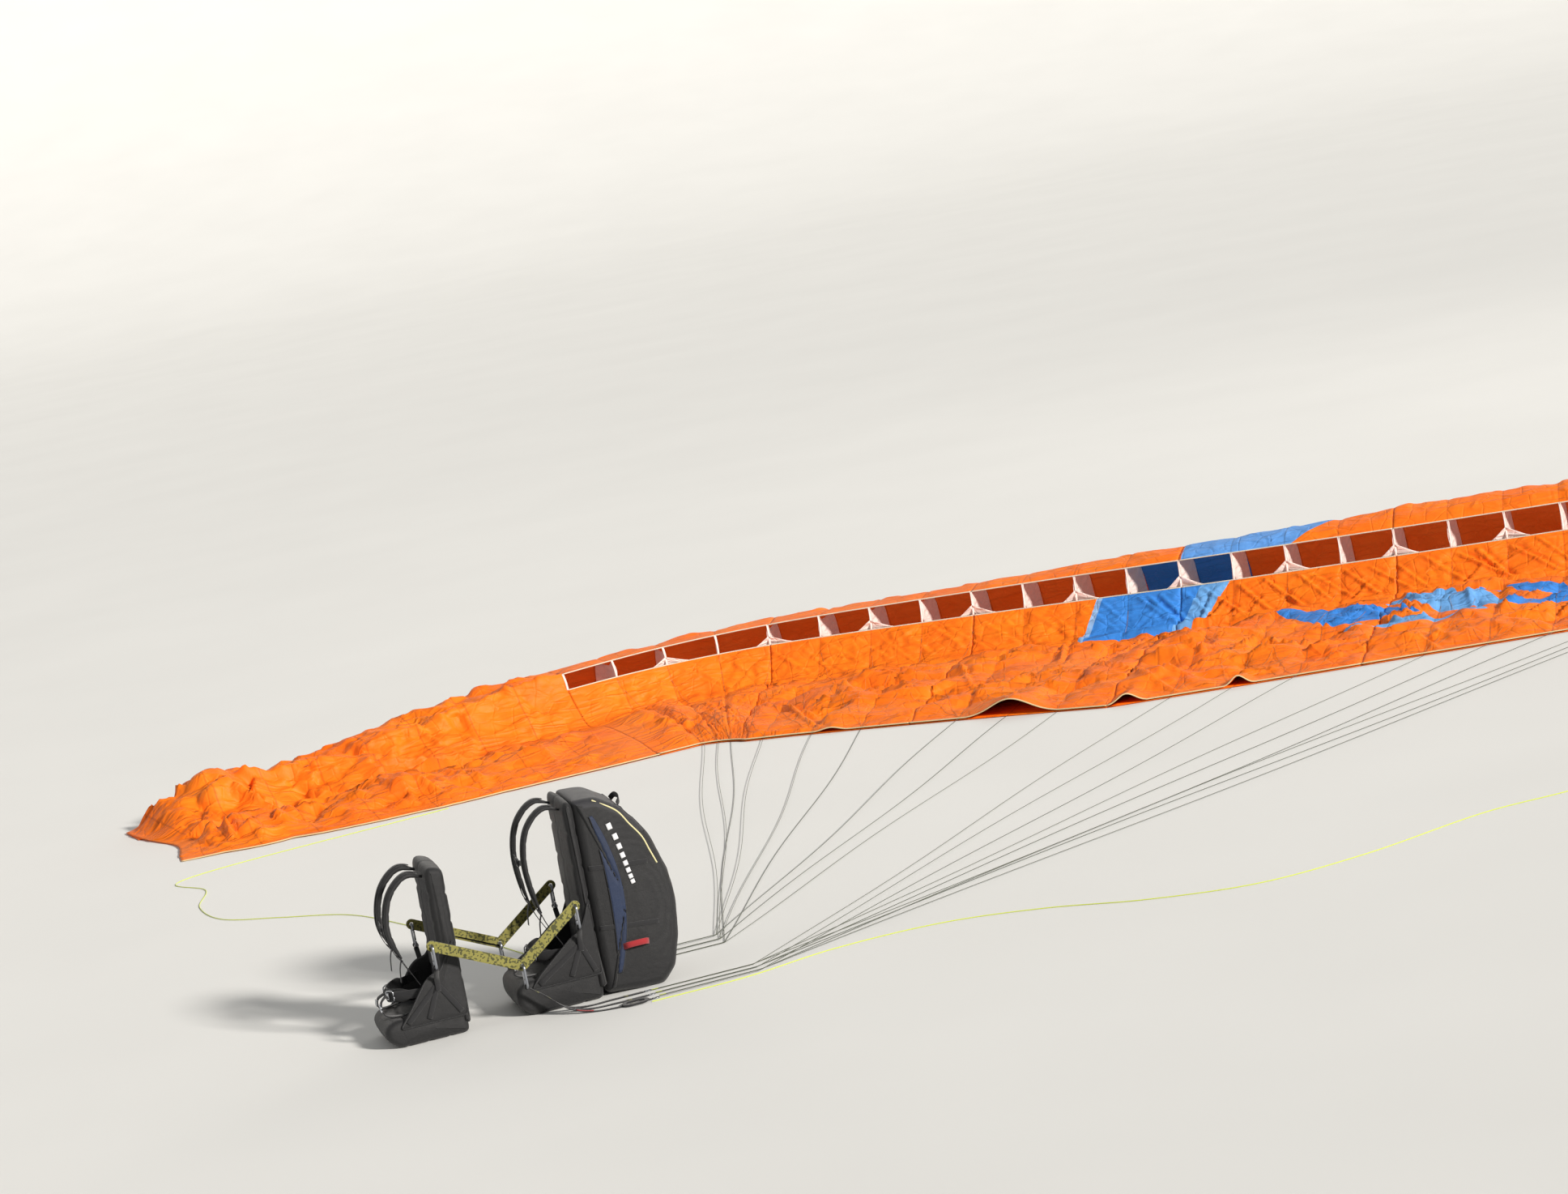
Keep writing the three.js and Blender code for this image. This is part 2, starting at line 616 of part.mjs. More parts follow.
for (const [who, h] of Object.entries(HARNESS)) {
  const [hangAhead, hangUp] = HANG[who];
  const [backRear, backFront] = h.back;
  const [seatFront, seatTop] = h.seat;
  const seatAndBack = [
    [backRear, 0],
    [seatFront - 50, 0],
    [seatFront, 45],
    [seatFront, seatTop - 30],
    [seatFront - 40, seatTop],
    [backFront + 40, seatTop],
    [backFront, seatTop + 40],
    [backFront - 15, h.top - 30],
    [backFront - 25, h.top],
    [backRear - BACK_LEAN, h.top - 2 * BACK_LEAN],
  ];
  const hip = [
    [backRear + 6, seatTop - 40],
    [seatFront - 60, seatTop - 40],
    [seatFront - 110, seatTop + 15],
    [50, h.hip - 25],
    [15, h.hip],
    [-20, h.hip],
    [backRear + 6, h.hip + 130],
  ];
  const hipInside = h.half - HIP_PLATE + HIP_PROUD; // from the middle to a hip plate's inner face
  const pieces = [across(seatAndBack, 2 * h.half, hangAhead)];
  for (const [, sign] of SIDES) {
    const plateAt = sign * (hipInside + HIP_PLATE / 2);
    pieces.push(across(hip, HIP_PLATE, hangAhead, plateAt));
    const riseTo = hangUp - EYE - 2;
    pieces.push(
      strap(
        [
          rig(hangAhead, sign * (h.half - 4), h.hip - 60),
          rig(hangAhead, sign * (h.half + 20), h.hip - 25),
          rig(hangAhead, sign * HANG_OUT, riseTo),
        ],
        AHEAD,
        WEB,
        4
      ),
      webbingEye(hangAhead, sign * HANG_OUT, hangUp)
    );
  }
  add(who + "_seat_and_back", joined(pieces), BLACK_CLOTH);

  // Shoulder straps arch from the top of the back, forward and down to the hips
  for (const [side, sign] of SIDES) {
    const at = (ahead, left, up) => rig(hangAhead + ahead, sign * left, up);
    const points = smooth(
      [
        at(backFront - 11, h.shoulder, h.top - 45),
        at(backFront + 60, h.shoulder + 5, h.top - 25),
        at(110, h.shoulder + 10, h.top - 90),
        at(150, h.shoulder + 20, h.top - 230),
        at(120, h.half - 55, h.hip + 90),
        at(60, hipInside - 25 - SEAT_GAP, h.hip - 45),
      ],
      14
    );
    add(who + "_shoulder_strap_" + side, strap(points, LEFT, 50, 8), BLACK_WEBBING);
  }

  // The chest strap crosses between the shoulder straps, with its buckle in the middle
  const chestUp = h.top - 230;
  const chestHalf = h.shoulder + 20 - 25 - 2;
  const chest = strap([rig(hangAhead + 150, -chestHalf, chestUp), rig(hangAhead + 150, chestHalf, chestUp)], UP, 25, 4);
  const buckle = across(
    [
      [138, chestUp - 20],
      [160, chestUp - 20],
      [160, chestUp + 20],
      [138, chestUp + 20],
    ],
    52,
    hangAhead
  );
  add(who + "_chest_strap", joined([chest, buckle]), BLACK_WEBBING);

  // Leg straps rise from the front of the seat to the belly strap, which runs from hip to hip
  const bellyUp = h.hip - 70;
  const bellyHalf = hipInside - 2 - SEAT_GAP;
  const belly = smooth(
    [
      rig(hangAhead + 30, -bellyHalf, bellyUp),
      rig(hangAhead + 150, -0.55 * bellyHalf, bellyUp - 5),
      rig(hangAhead + 190, 0, bellyUp - 10),
      rig(hangAhead + 150, 0.55 * bellyHalf, bellyUp - 5),
      rig(hangAhead + 30, bellyHalf, bellyUp),
    ],
    12
  );
  const legs = SIDES.map(([, sign]) =>
    strap(
      smooth(
        [
          rig(hangAhead + 185, sign * 20, bellyUp - 12),
          rig(hangAhead + 225, sign * 45, bellyUp - 30),
          rig(hangAhead + seatFront - 30, sign * 75, seatTop + 14),
          rig(hangAhead + seatFront - 60, sign * 95, seatTop + 3.6),
        ],
        8
      ),
      LEFT,
      30,
      4
    )
  );
  const bellyBuckle = across(
    [
      [182, bellyUp - 32],
      [204, bellyUp - 32],
      [204, bellyUp + 12],
      [182, bellyUp + 12],
    ],
    70,
    hangAhead
  );
  add(who + "_leg_and_belly_straps", joined([strap(belly, UP, 38, 4), ...legs, bellyBuckle]), BLACK_WEBBING);
}

// The pilot's back container: a deep rounded bag behind the back, lofted across the rig. Columns: how far it
// stands out behind the back, and height. Across: distance from the middle, and the share of that depth there.
const BAG_OUTLINE = [
  [0, 14],
  [160, 0],
  [250, 0],
  [310, 60],
  [350, 190],
  [365, 330],
  [350, 480],
  [295, 640],
  [210, 770],
  [110, 840],
  [0, 850],
];
const BAG_ACROSS = [
  [-195, 0.72],
  [-178, 0.88],
  [-120, 0.98],
  [0, 1],
  [120, 0.98],
  [178, 0.88],
  [195, 0.72],
];
const BAG_MIDDLE = 420;
const BAG_FOOT = 20; // the outline keeps its height below this
const pilotBack = (up) => HARNESS.pilot.back[0] - (BACK_LEAN * up) / (HARNESS.pilot.top - BACK_LEAN * 2);

const bagRings = BAG_ACROSS.map(([left, share]) =>
  BAG_OUTLINE.map(([out, up]) => {
    const height = up < BAG_FOOT ? up : BAG_MIDDLE + (up - BAG_MIDDLE) * (0.5 + share / 2);
    return rig(pilotBack(height) - SEAT_GAP - out * share, left, height);
  })
);
add("pilot_back_container", loft(bagRings), BLACK_CLOTH);

export default paraglider;
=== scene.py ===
# %% [markdown]
# # A tandem paraglider laid out for launch
# The wing lies in an open arc with its air inlets propped up, the lines run over the ground to the risers,
# and the two harnesses stand on their seats between two spreader bars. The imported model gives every
# place and size, so each piece made here is put where that model has its plain solid. Metres, +Z up,
# flight towards -Y.

# %% Frame
import math

import bmesh
import bpy
import numpy as np
from mathutils import Matrix, Vector


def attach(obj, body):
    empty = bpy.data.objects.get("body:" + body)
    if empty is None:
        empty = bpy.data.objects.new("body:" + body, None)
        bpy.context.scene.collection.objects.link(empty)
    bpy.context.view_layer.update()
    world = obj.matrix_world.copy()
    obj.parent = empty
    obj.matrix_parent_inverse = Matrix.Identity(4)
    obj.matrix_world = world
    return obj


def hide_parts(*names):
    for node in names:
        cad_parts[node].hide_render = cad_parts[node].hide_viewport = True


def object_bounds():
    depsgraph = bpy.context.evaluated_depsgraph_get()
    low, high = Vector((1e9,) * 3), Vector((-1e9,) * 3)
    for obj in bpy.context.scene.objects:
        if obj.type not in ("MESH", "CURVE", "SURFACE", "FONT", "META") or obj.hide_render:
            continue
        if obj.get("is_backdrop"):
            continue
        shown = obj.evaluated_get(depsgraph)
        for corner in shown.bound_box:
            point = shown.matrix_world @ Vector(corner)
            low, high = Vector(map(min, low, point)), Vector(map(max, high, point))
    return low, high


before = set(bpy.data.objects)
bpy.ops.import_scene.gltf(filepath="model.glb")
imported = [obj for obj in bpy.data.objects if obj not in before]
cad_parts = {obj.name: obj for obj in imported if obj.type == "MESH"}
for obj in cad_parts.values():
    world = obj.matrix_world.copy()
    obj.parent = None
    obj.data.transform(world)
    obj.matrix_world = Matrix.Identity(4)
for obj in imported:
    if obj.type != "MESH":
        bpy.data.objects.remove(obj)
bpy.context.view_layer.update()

# %% [markdown]
# ## Camera
# The picture was taken with a long lens from about 17 m away and a little under 4 m up, and in it the wing
# rises to the right. Here everything stands on a level floor, so the same look comes from rolling the camera
# by 11 degrees. A lens of 88 mm on a 36 mm wide sensor gives the picture's angle of view.

# %% Camera
ROLL = math.radians(11)
PITCH = math.radians(8.55)
EYE_POINT = Vector((8.172, -16.913, 3.9))
LOOK = Vector((-0.477, 0.879, 0)).normalized()

camera = bpy.data.objects.new("camera", bpy.data.cameras.new("camera"))
bpy.context.scene.collection.objects.link(camera)
camera.data.sensor_width = 36
camera.data.lens = 88.33
camera.data.clip_end = 200
view_right = LOOK.cross(Vector((0, 0, 1)))
view_ahead = LOOK * math.cos(PITCH) - Vector((0, 0, math.sin(PITCH)))
view_up = view_right.cross(view_ahead)
picture_right = view_right * math.cos(ROLL) - view_up * math.sin(ROLL)
picture_up = view_right * math.sin(ROLL) + view_up * math.cos(ROLL)
camera.matrix_world = Matrix((picture_right, picture_up, -view_ahead)).transposed().to_4x4()
camera.location = EYE_POINT
bpy.context.scene.camera = camera
print("lens", round(camera.data.lens, 1), "mm, eye", [round(x, 2) for x in EYE_POINT])

# %% [markdown]
# ## Materials
# Every finish is a small tree of nodes around one Principled shader. `add` makes a node, sets it up,
# links it and gives back one of its outputs, and `finish` starts a material from the values that are the
# same all over: they go straight on the shader. Colours are written as sRGB hex values and turned to
# linear ones by `linear`.

# %% Node helpers
A, B = 6, 7  # a Mix node's colour inputs, and its colour output is 2
MIX = dict(out=2, data_type="RGBA")
TINT = dict(MIX, blend_type="MULTIPLY")


def linear(code):
    """The linear colour of a hex code, with full alpha."""
    values = [int(code[i : i + 2], 16) / 255 for i in (1, 3, 5)]
    return (*[v / 12.92 if v <= 0.04045 else ((v + 0.055) / 1.055) ** 2.4 for v in values], 1)


def add(tree, kind, *values, named=None, out=0, **settings):
    """A shader node: values fill its first inputs, `named` fills inputs by name or number."""
    node = tree.nodes.new("ShaderNode" + kind)
    for name, value in settings.items():
        setattr(node, name, value)
    for socket, value in {**dict(enumerate(values)), **(named or {})}.items():
        if isinstance(value, bpy.types.NodeSocket):
            tree.links.new(value, node.inputs[socket])
        else:
            node.inputs[socket].default_value = value
    return node.outputs[out]


def finish(name, **values):
    """A new material with these values on its shader."""
    made = bpy.data.materials.new(name)
    made.use_nodes = True
    shader = made.node_tree.nodes["Principled BSDF"]
    for socket, value in values.items():
        shader.inputs[socket.replace("_", " ")].default_value = value
    return made, made.node_tree, shader


def wire(tree, shader, **outputs):
    """Link outputs to the shader's inputs of these names."""
    for socket, output in outputs.items():
        tree.links.new(output, shader.inputs[socket.replace("_", " ")])


print("mid grey is", round(linear("#808080")[0], 3), "in linear light")

# %% [markdown]
# ### Wing cloth
# The skins are ripstop nylon, a thin plain weave with a thicker thread about every 5 mm, calendered and
# coated, so it is fairly smooth with a satin sheen and takes many fine creases. The skins carry a map in
# metres, along the span and along the section, and the panels of the lower skin are cut by straight lines
# in that map, as the sail maker cuts them. The ripstop grid is drawn at 12 mm, because 5 mm would be lost
# at this distance. The first two helpers draw one panel and one set of thin folds.

# %% Panels and thin folds
ORANGE, ORANGE_DEEP, ORANGE_LIGHT = "#ff7800", "#f86000", "#ff8c0a"
PANEL_BLUE, SKY_BLUE = "#3584da", "#6aa9e6"
CELL = 0.312
RIPSTOP = 0.012  # the real spacing is 5 mm


def inside_lines(tree, s, v, lines, v_range):
    """A mask that is 1 between two slanting lines, each (place at v = 0, slope), and inside a range of v."""
    edges = [add(tree, "Math", v, slope, at, operation="MULTIPLY_ADD") for at, slope in lines]
    tests = [
        add(tree, "Math", s, edges[0], operation="GREATER_THAN"),
        add(tree, "Math", s, edges[1], operation="LESS_THAN"),
        add(tree, "Math", v, v_range[0], operation="GREATER_THAN"),
        add(tree, "Math", v, v_range[1], operation="LESS_THAN"),
    ]
    mask = tests[0]
    for test in tests[1:]:
        mask = add(tree, "Math", mask, test, operation="MULTIPLY")
    return mask


def thin_folds(tree, cloth_map, angle, stretch, scale, sharpness):
    """Thin crests, 1 on the crest, along the lines where a stretched noise passes its middle value."""
    turned = add(
        tree, "Mapping", named={"Vector": cloth_map, "Rotation": (0, 0, angle), "Scale": (stretch, 1, 1)}
    )
    noise = add(tree, "TexNoise", named={"Vector": turned, "Scale": scale, "Detail": 1.5, "Roughness": 0.4})
    away = add(tree, "Math", add(tree, "Math", noise, 0.5, operation="SUBTRACT"), operation="ABSOLUTE")
    return add(
        tree, "Math", 1.0, add(tree, "Math", away, sharpness, operation="MULTIPLY"), operation="SUBTRACT",
        use_clamp=True,
    )


print("cells of", CELL, "m and a ripstop grid of", RIPSTOP, "m")

# %% [markdown]
# ### Wing cloth
# One finish serves for every skin. Its relief is the ripstop grid, soft dents between stiff edges, and three
# sets of thin folds that cross. Its colour is three oranges mixed by a wide noise, so its tone differs at
# random, then the panels, then a darker thread at each rib's seam. Shade is painted on it too: the colour is
# darker on the crests of the thin folds and where the soft dents lie low. A painted glow stands for the
# daylight that comes through the thin cloth.

# %% Wing cloth
def cloth_relief(tree, cloth_map, s, v):
    """The cloth's grain, the crests of its thin folds, and its height."""
    threads = [
        add(
            tree, "Math", add(tree, "Math", x, RIPSTOP / 2, operation="PINGPONG"), RIPSTOP * 0.06,
            operation="LESS_THAN",
        )
        for x in (s, v)
    ]
    grid = add(tree, "Math", *threads, operation="MAXIMUM")
    folds = add(tree, "TexVoronoi", named={"Vector": cloth_map, "Scale": 9.0}, feature="DISTANCE_TO_EDGE")
    ridge = add(tree, "Math", add(tree, "Math", folds, 0.06, operation="MINIMUM"), 8.0, operation="MULTIPLY")
    soft = add(tree, "TexNoise", named={"Vector": cloth_map, "Scale": 22.0, "Detail": 4.0, "Roughness": 0.55})
    height = add(tree, "Math", grid, 0.05, ridge, operation="MULTIPLY_ADD")
    height = add(tree, "Math", height, soft, operation="ADD")
    pulled = thin_folds(tree, cloth_map, -0.85, 0.16, 12.0, 14.0)
    crossed = thin_folds(tree, cloth_map, 0.75, 0.3, 8.0, 18.0)
    lying = thin_folds(tree, cloth_map, 0.2, 0.45, 5.0, 20.0)
    crests = add(
        tree, "Math", add(tree, "Math", pulled, crossed, operation="MAXIMUM"), lying, operation="MAXIMUM"
    )
    return soft, crests, add(tree, "Math", crests, 1.4, height, operation="MULTIPLY_ADD")


def wing_cloth(name, blocks=(), seams=True, base=ORANGE, deep=ORANGE_DEEP, light=ORANGE_LIGHT, **values):
    """Each block is a hex colour, two slanting lines and a range of v, as `inside_lines` takes them."""
    made, tree, shader = finish(name, **{"Roughness": 0.62, "Sheen_Weight": 0.0, "IOR": 1.4, **values})
    cloth_map = add(tree, "UVMap", uv_map="cloth")
    s = add(tree, "SeparateXYZ", cloth_map)
    v = s.node.outputs[1]
    soft, crests, height = cloth_relief(tree, cloth_map, s, v)
    wide = add(tree, "TexNoise", named={"Vector": cloth_map, "Scale": 2.3, "Detail": 3.0, "Roughness": 0.6})
    tone = add(tree, "ValToRGB", wide)
    for stop, (position, code) in zip(tone.node.color_ramp.elements, ((0.3, deep), (0.72, light))):
        stop.position, stop.color = position, linear(code)
    colour = add(tree, "Mix", 0.45, named={A: linear(base), B: tone}, **MIX)
    for code, lines, v_range in blocks:
        mask = inside_lines(tree, s, v, lines, v_range)
        colour = add(tree, "Mix", mask, named={A: colour, B: linear(code)}, **MIX)
    if seams:
        seam = add(
            tree, "Math", add(tree, "Math", s, CELL / 2, operation="PINGPONG"), 0.0045,
            operation="LESS_THAN",
        )
        seam = add(tree, "Math", seam, 0.4, operation="MULTIPLY")
        colour = add(tree, "Mix", seam, named={A: colour, B: linear("#b09a90")}, **TINT)
    # Painted shade: the colour is darkened and reddened on the crests of the thin folds.
    painted_crease_shade = add(tree, "Math", crests, 0.08, operation="MULTIPLY")
    colour = add(tree, "Mix", painted_crease_shade, named={A: colour, B: linear("#a05030")}, **TINT)
    # Painted shade: the colour is darkened a little where the soft dents of the relief lie low.
    shade = add(tree, "Mix", 0.12, named={A: colour, B: soft}, **TINT)
    relief = add(tree, "Bump", named={"Height": height, "Distance": 0.005, "Strength": 0.8})
    wire(tree, shader, Base_Color=shade, Normal=relief)
    # A painted glow: the cloth gives out its own colour as light, for the daylight that comes through it.
    if "Emission_Strength" in values:
        wire(tree, shader, Emission_Color=colour)
    return made


plain_cloth = wing_cloth("orange ripstop")
print(plain_cloth.name, "has", len(plain_cloth.node_tree.nodes), "nodes")

# %% [markdown]
# ### Panels of the wing
# The lower skin has a blue block under the two middle inlets, with a lighter part and a pale edge, and a
# design of slanting bars, low on the skin, that shrink towards the left wing. The upper skin has one light
# blue strip. The lining is the inside of the same cloth, with two blue cells in the middle, and the ribs are
# white cloth with a pale pink tint. Lining and ribs carry a painted glow for the daylight that the thin cloth
# lets through, and the ribs' pink tint is painted light as well, for the orange light that reaches them.

# %% Wing panels
PALE_EDGE = "#8fb6e2"
BLOCK = [
    (PANEL_BLUE, ((-0.50, -0.25), (0.12, -0.40)), (-0.01, 0.43)),
    (SKY_BLUE, ((0.12, -0.40), (0.29, -0.55)), (-0.01, 0.43)),
    (PALE_EDGE, ((-0.50, -0.25), (-0.465, -0.25)), (-0.01, 0.43)),
    (PALE_EDGE, ((-0.50, -0.25), (0.29, -0.55)), (0.405, 0.43)),
]
BARS = [
    (PANEL_BLUE, ((0.12, 0.9), (0.60, 0.9)), (0.52, 0.96)),
    (SKY_BLUE, ((0.72, 0.9), (1.08, 0.9)), (0.56, 0.96)),
    (PANEL_BLUE, ((1.20, 0.9), (1.46, 0.9)), (0.60, 0.96)),
    (SKY_BLUE, ((0.02, 0.9), (0.78, 0.9)), (1.06, 1.18)),
    (PANEL_BLUE, ((0.90, 0.9), (1.32, 0.9)), (1.06, 1.16)),
]
STRIP = [("#5f9de6", ((0.015, 0.0), (0.66, 1.2)), (-0.01, 4.5))]
BLUE_CELLS = [("#3c86dc", ((-CELL, 0.0), (CELL, 0.0)), (-0.01, 4.5))]
lower_cloth = wing_cloth("orange ripstop with blue panels", BLOCK + BARS)
upper_cloth = wing_cloth("orange ripstop with a light blue strip", STRIP)
# The lining carries a painted glow, for the daylight that comes through the thin cloth.
glowing_lining = wing_cloth(
    "inside of the ripstop", BLUE_CELLS, base="#ff7c2a", deep="#f06a1a", light="#ff8c3c",
    Emission_Strength=0.10,
)
# The ribs' pale pink base is painted light, for the orange light that reaches them, and their glow is painted
# too.
glowing_rib_cloth = wing_cloth(
    "white rib ripstop", seams=False, base="#f2e0d8", deep="#e6c6b8", light="#fbf3ee",
    Emission_Strength=0.09,
)
print("wing cloths", lower_cloth.name, upper_cloth.name, glowing_lining.name)

# %% [markdown]
# ### Tapes, webbing, lines and pack cloth
# The edges of the inlets and the trailing edge are bound with woven polyester tape. The brake lines are a
# bright yellow-green braid, the main lines a dark one, and the upper lines bare aramid. Webbing is a coarse
# flat weave of polyester: rows of long humps, each row half a hump on from the last, and the spreader bars'
# is speckled olive. The harness is coated pack cloth with a fine basket weave, worn lighter in places.

# %% Woven finishes
def woven(name, base, other, thread, roughness=0.8, speckle=None):
    """Webbing, tape or braid: rows of long humps, each row half a hump on, over a map in metres."""
    made, tree, shader = finish(name, Roughness=roughness, Sheen_Weight=0.2)
    cloth_map = add(tree, "UVMap", uv_map="cloth")
    s = add(tree, "SeparateXYZ", cloth_map)
    row = add(tree, "Math", add(tree, "Math", s, thread, operation="DIVIDE"), operation="FLOOR")
    staggered = add(tree, "Math", row, thread, s.node.outputs[1], operation="MULTIPLY_ADD")
    along = add(tree, "Math", staggered, thread, operation="PINGPONG")
    across = add(tree, "Math", s, thread / 2, operation="PINGPONG")
    area = add(
        tree, "Math", add(tree, "Math", along, across, operation="MULTIPLY"), 2 / thread**2,
        operation="MULTIPLY",
    )
    weave = add(tree, "Math", area, 0.75, operation="POWER")
    cloud = add(tree, "TexNoise", named={"Vector": cloth_map, "Scale": 14.0, "Detail": 3.0})
    share = add(tree, "Math", weave, 0.8, operation="MULTIPLY")
    colour = add(tree, "Mix", share, named={A: linear(base), B: linear(other)}, **MIX)
    if speckle:
        spots = add(tree, "TexVoronoi", named={"Vector": cloth_map, "Scale": 130.0}, out=1)
        chosen = add(tree, "Math", spots, 0.62, operation="GREATER_THAN")
        colour = add(tree, "Mix", chosen, named={A: colour, B: linear(speckle)}, **MIX)
    shade = add(tree, "Mix", 0.25, named={A: colour, B: cloud}, **TINT)
    relief = add(tree, "Bump", named={"Height": weave, "Distance": 0.0012, "Strength": 0.6})
    wire(tree, shader, Base_Color=shade, Normal=relief)
    return made


def pack_fabric(name, base, worn, weave_size=0.002, roughness=0.6):
    """Coated pack cloth: a basket weave under a coat that has worn in patches."""
    made, tree, shader = finish(name, Sheen_Weight=0.1)
    at = add(tree, "TexCoord", out=3)
    weave = add(tree, "TexVoronoi", named={"Vector": at, "Scale": 1 / weave_size, "Randomness": 0.3})
    cloud = add(tree, "TexNoise", named={"Vector": at, "Scale": 7.0, "Detail": 5.0, "Roughness": 0.6})
    folds = add(tree, "TexNoise", named={"Vector": at, "Scale": 28.0, "Detail": 6.0, "Roughness": 0.65})
    tone = add(tree, "Math", weave, 0.35, cloud, operation="MULTIPLY_ADD")
    share = add(tree, "Math", tone, 0.75, operation="MULTIPLY")
    colour = add(tree, "Mix", share, named={A: linear(base), B: linear(worn)}, **MIX)
    rough = add(tree, "Math", cloud, 0.25, roughness - 0.12, operation="MULTIPLY_ADD")
    height = add(tree, "Math", folds, 3.0, weave, operation="MULTIPLY_ADD")
    relief = add(tree, "Bump", named={"Height": height, "Distance": 0.0015, "Strength": 0.6})
    wire(tree, shader, Base_Color=colour, Roughness=rough, Normal=relief)
    return made


edge_tape = woven("off-white edge tape", "#e9e3cf", "#cfc6a8", 0.002)
hem_binding = woven("cream hem tape", "#dcbc80", "#f0e0b4", 0.002)
yellow_braid = woven("yellow-green line braid", "#d3e04f", "#a7b62c", 0.0015)
dark_braid = woven("dark line braid", "#4a5136", "#2a2f1f", 0.0015)
black_webbing = woven("black webbing", "#0b0b0d", "#26262a", 0.0025)
olive_webbing = woven("speckled olive webbing", "#7d7838", "#9a9348", 0.003, speckle="#45451f")
red_webbing = woven("red webbing", "#a81a22", "#701016", 0.0025)
reflective = woven("silver reflective tape", "#f2f2f4", "#c8c9cd", 0.002, roughness=0.35)
piping = woven("cream piping", "#efe6b4", "#cfc684", 0.002)
pack_cloth = pack_fabric("black pack cloth", "#010102", "#0a0a0d")
# A lighter black cloth for the bag's top panel.
top_panel_cloth = pack_fabric("worn black pack cloth", "#08080a", "#2c2c31")
navy_cloth = pack_fabric("navy side panel cloth", "#040e22", "#10284c")
straw_line = woven("unsheathed aramid line", "#c7883c", "#a86a28", 0.0015)
spacer_mesh = pack_fabric("dark grey spacer mesh", "#0a0a0c", "#2a2a2f", weave_size=0.004, roughness=0.85)
print("finishes so far", len(bpy.data.materials))

# %% [markdown]
# ### Metal and plastic
# The carabiners are forged aluminium, tumbled and anodised grey, and the maillons are polished stainless
# steel. Buckles are moulded acetal with a fine matt grain. Metals keep the default index of refraction.

# %% Metal and plastic
def hard_finish(name, colour, worn, grain, roughness, spread, depth, **values):
    """Grain is the scale of the fine marks. Roughness rises by up to `spread` over the marks."""
    made, tree, shader = finish(name, **values)
    at = add(tree, "TexCoord", out=3)
    marks = add(tree, "TexNoise", named={"Vector": at, "Scale": grain, "Detail": 6.0, "Roughness": 0.7})
    stains = add(tree, "TexNoise", named={"Vector": at, "Scale": 24.0, "Detail": 3.0})
    share = add(tree, "Math", stains, 0.45, operation="MULTIPLY")
    shade = add(tree, "Mix", share, named={A: linear(colour), B: linear(worn)}, **MIX)
    rough = add(tree, "Math", marks, spread, roughness, operation="MULTIPLY_ADD")
    relief = add(tree, "Bump", named={"Height": marks, "Distance": depth, "Strength": 0.4})
    wire(tree, shader, Base_Color=shade, Roughness=rough, Normal=relief)
    return made


grey_aluminium = hard_finish(
    "anodised grey aluminium", "#9a9da3", "#5a5d62", 160.0, 0.25, 0.25, 0.0004, Metallic=1.0
)
bright_steel = hard_finish(
    "polished stainless steel", "#c9cbcf", "#84878c", 240.0, 0.12, 0.2, 0.0003, Metallic=1.0
)
black_acetal = hard_finish("black moulded acetal", "#17171a", "#3d3d42", 900.0, 0.35, 0.2, 0.0003, IOR=1.48)
print("all finishes", len(bpy.data.materials))

# %% [markdown]
# ## Making meshes
# Most pieces here are grids: rows of points that follow a shape, with a map in metres. `keep` puts a mesh
# in the scene with its materials and rides it on a body, `keep_faces` and `keep_grid` do so from points, and
# `solidify` gives a sheet the thickness of its cloth.

# %% Mesh helpers
def keep(name, mesh, body, materials):
    """Put a mesh in the scene, with its materials, on a body."""
    made = bpy.data.objects.new(name, mesh)
    bpy.context.scene.collection.objects.link(made)
    for one in materials if isinstance(materials, (list, tuple)) else [materials]:
        mesh.materials.append(one)
    mesh.polygons.foreach_set("use_smooth", [True] * len(mesh.polygons))
    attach(made, body)
    return made


def mesh_from(name, points, faces, uv=None):
    """A mesh, with a map given for each point."""
    mesh = bpy.data.meshes.new(name)
    mesh.from_pydata(np.asarray(points).tolist(), [], [tuple(int(i) for i in f) for f in faces])
    if uv is not None:
        layer = mesh.uv_layers.new(name="cloth")
        index = np.empty(len(mesh.loops), dtype=np.int32)
        mesh.loops.foreach_get("vertex_index", index)
        layer.data.foreach_set("uv", np.asarray(uv, float)[index].ravel())
    return mesh


def run_along(line):
    """How far along a line of points each point is."""
    return np.concatenate([[0], np.cumsum(np.linalg.norm(np.diff(line, axis=0), axis=1))])


def map_pairs(a, b):
    """Two arrays as one array of pairs, for a map or a grid."""
    return np.stack(np.broadcast_arrays(a, b), axis=-1)


def cap_faces(rows, columns, base=0):
    """The two ends of a closed grid, as one face each."""
    first, last = list(range(base, base + columns)), base + (rows - 1) * columns
    return [first[::-1], list(range(last, last + columns))]


def grid_faces(rows, columns, closed=False):
    """The four corners of every face of a grid."""
    i, j = np.meshgrid(np.arange(rows - 1), np.arange(columns if closed else columns - 1), indexing="ij")
    a = (i * columns + j).ravel()
    b = (i * columns + (j + 1) % columns).ravel()
    return np.stack([a, b, b + columns, a + columns], axis=1)


def keep_faces(name, points, faces, uv, body, materials):
    """Keep points and their map, each one array or a list of arrays, with the faces between them."""
    points = np.vstack([np.reshape(part, (-1, 3)) for part in points])
    uv = np.vstack([np.reshape(part, (-1, 2)) for part in uv])
    return keep(name, mesh_from(name, points, faces, uv), body, materials)


def keep_grid(name, points, uv, body, materials, turned=False):
    """Keep an array of points, rows by columns, as a sheet."""
    faces = grid_faces(*points.shape[:2])
    return keep_faces(name, points, faces[:, ::-1] if turned else faces, uv, body, materials)


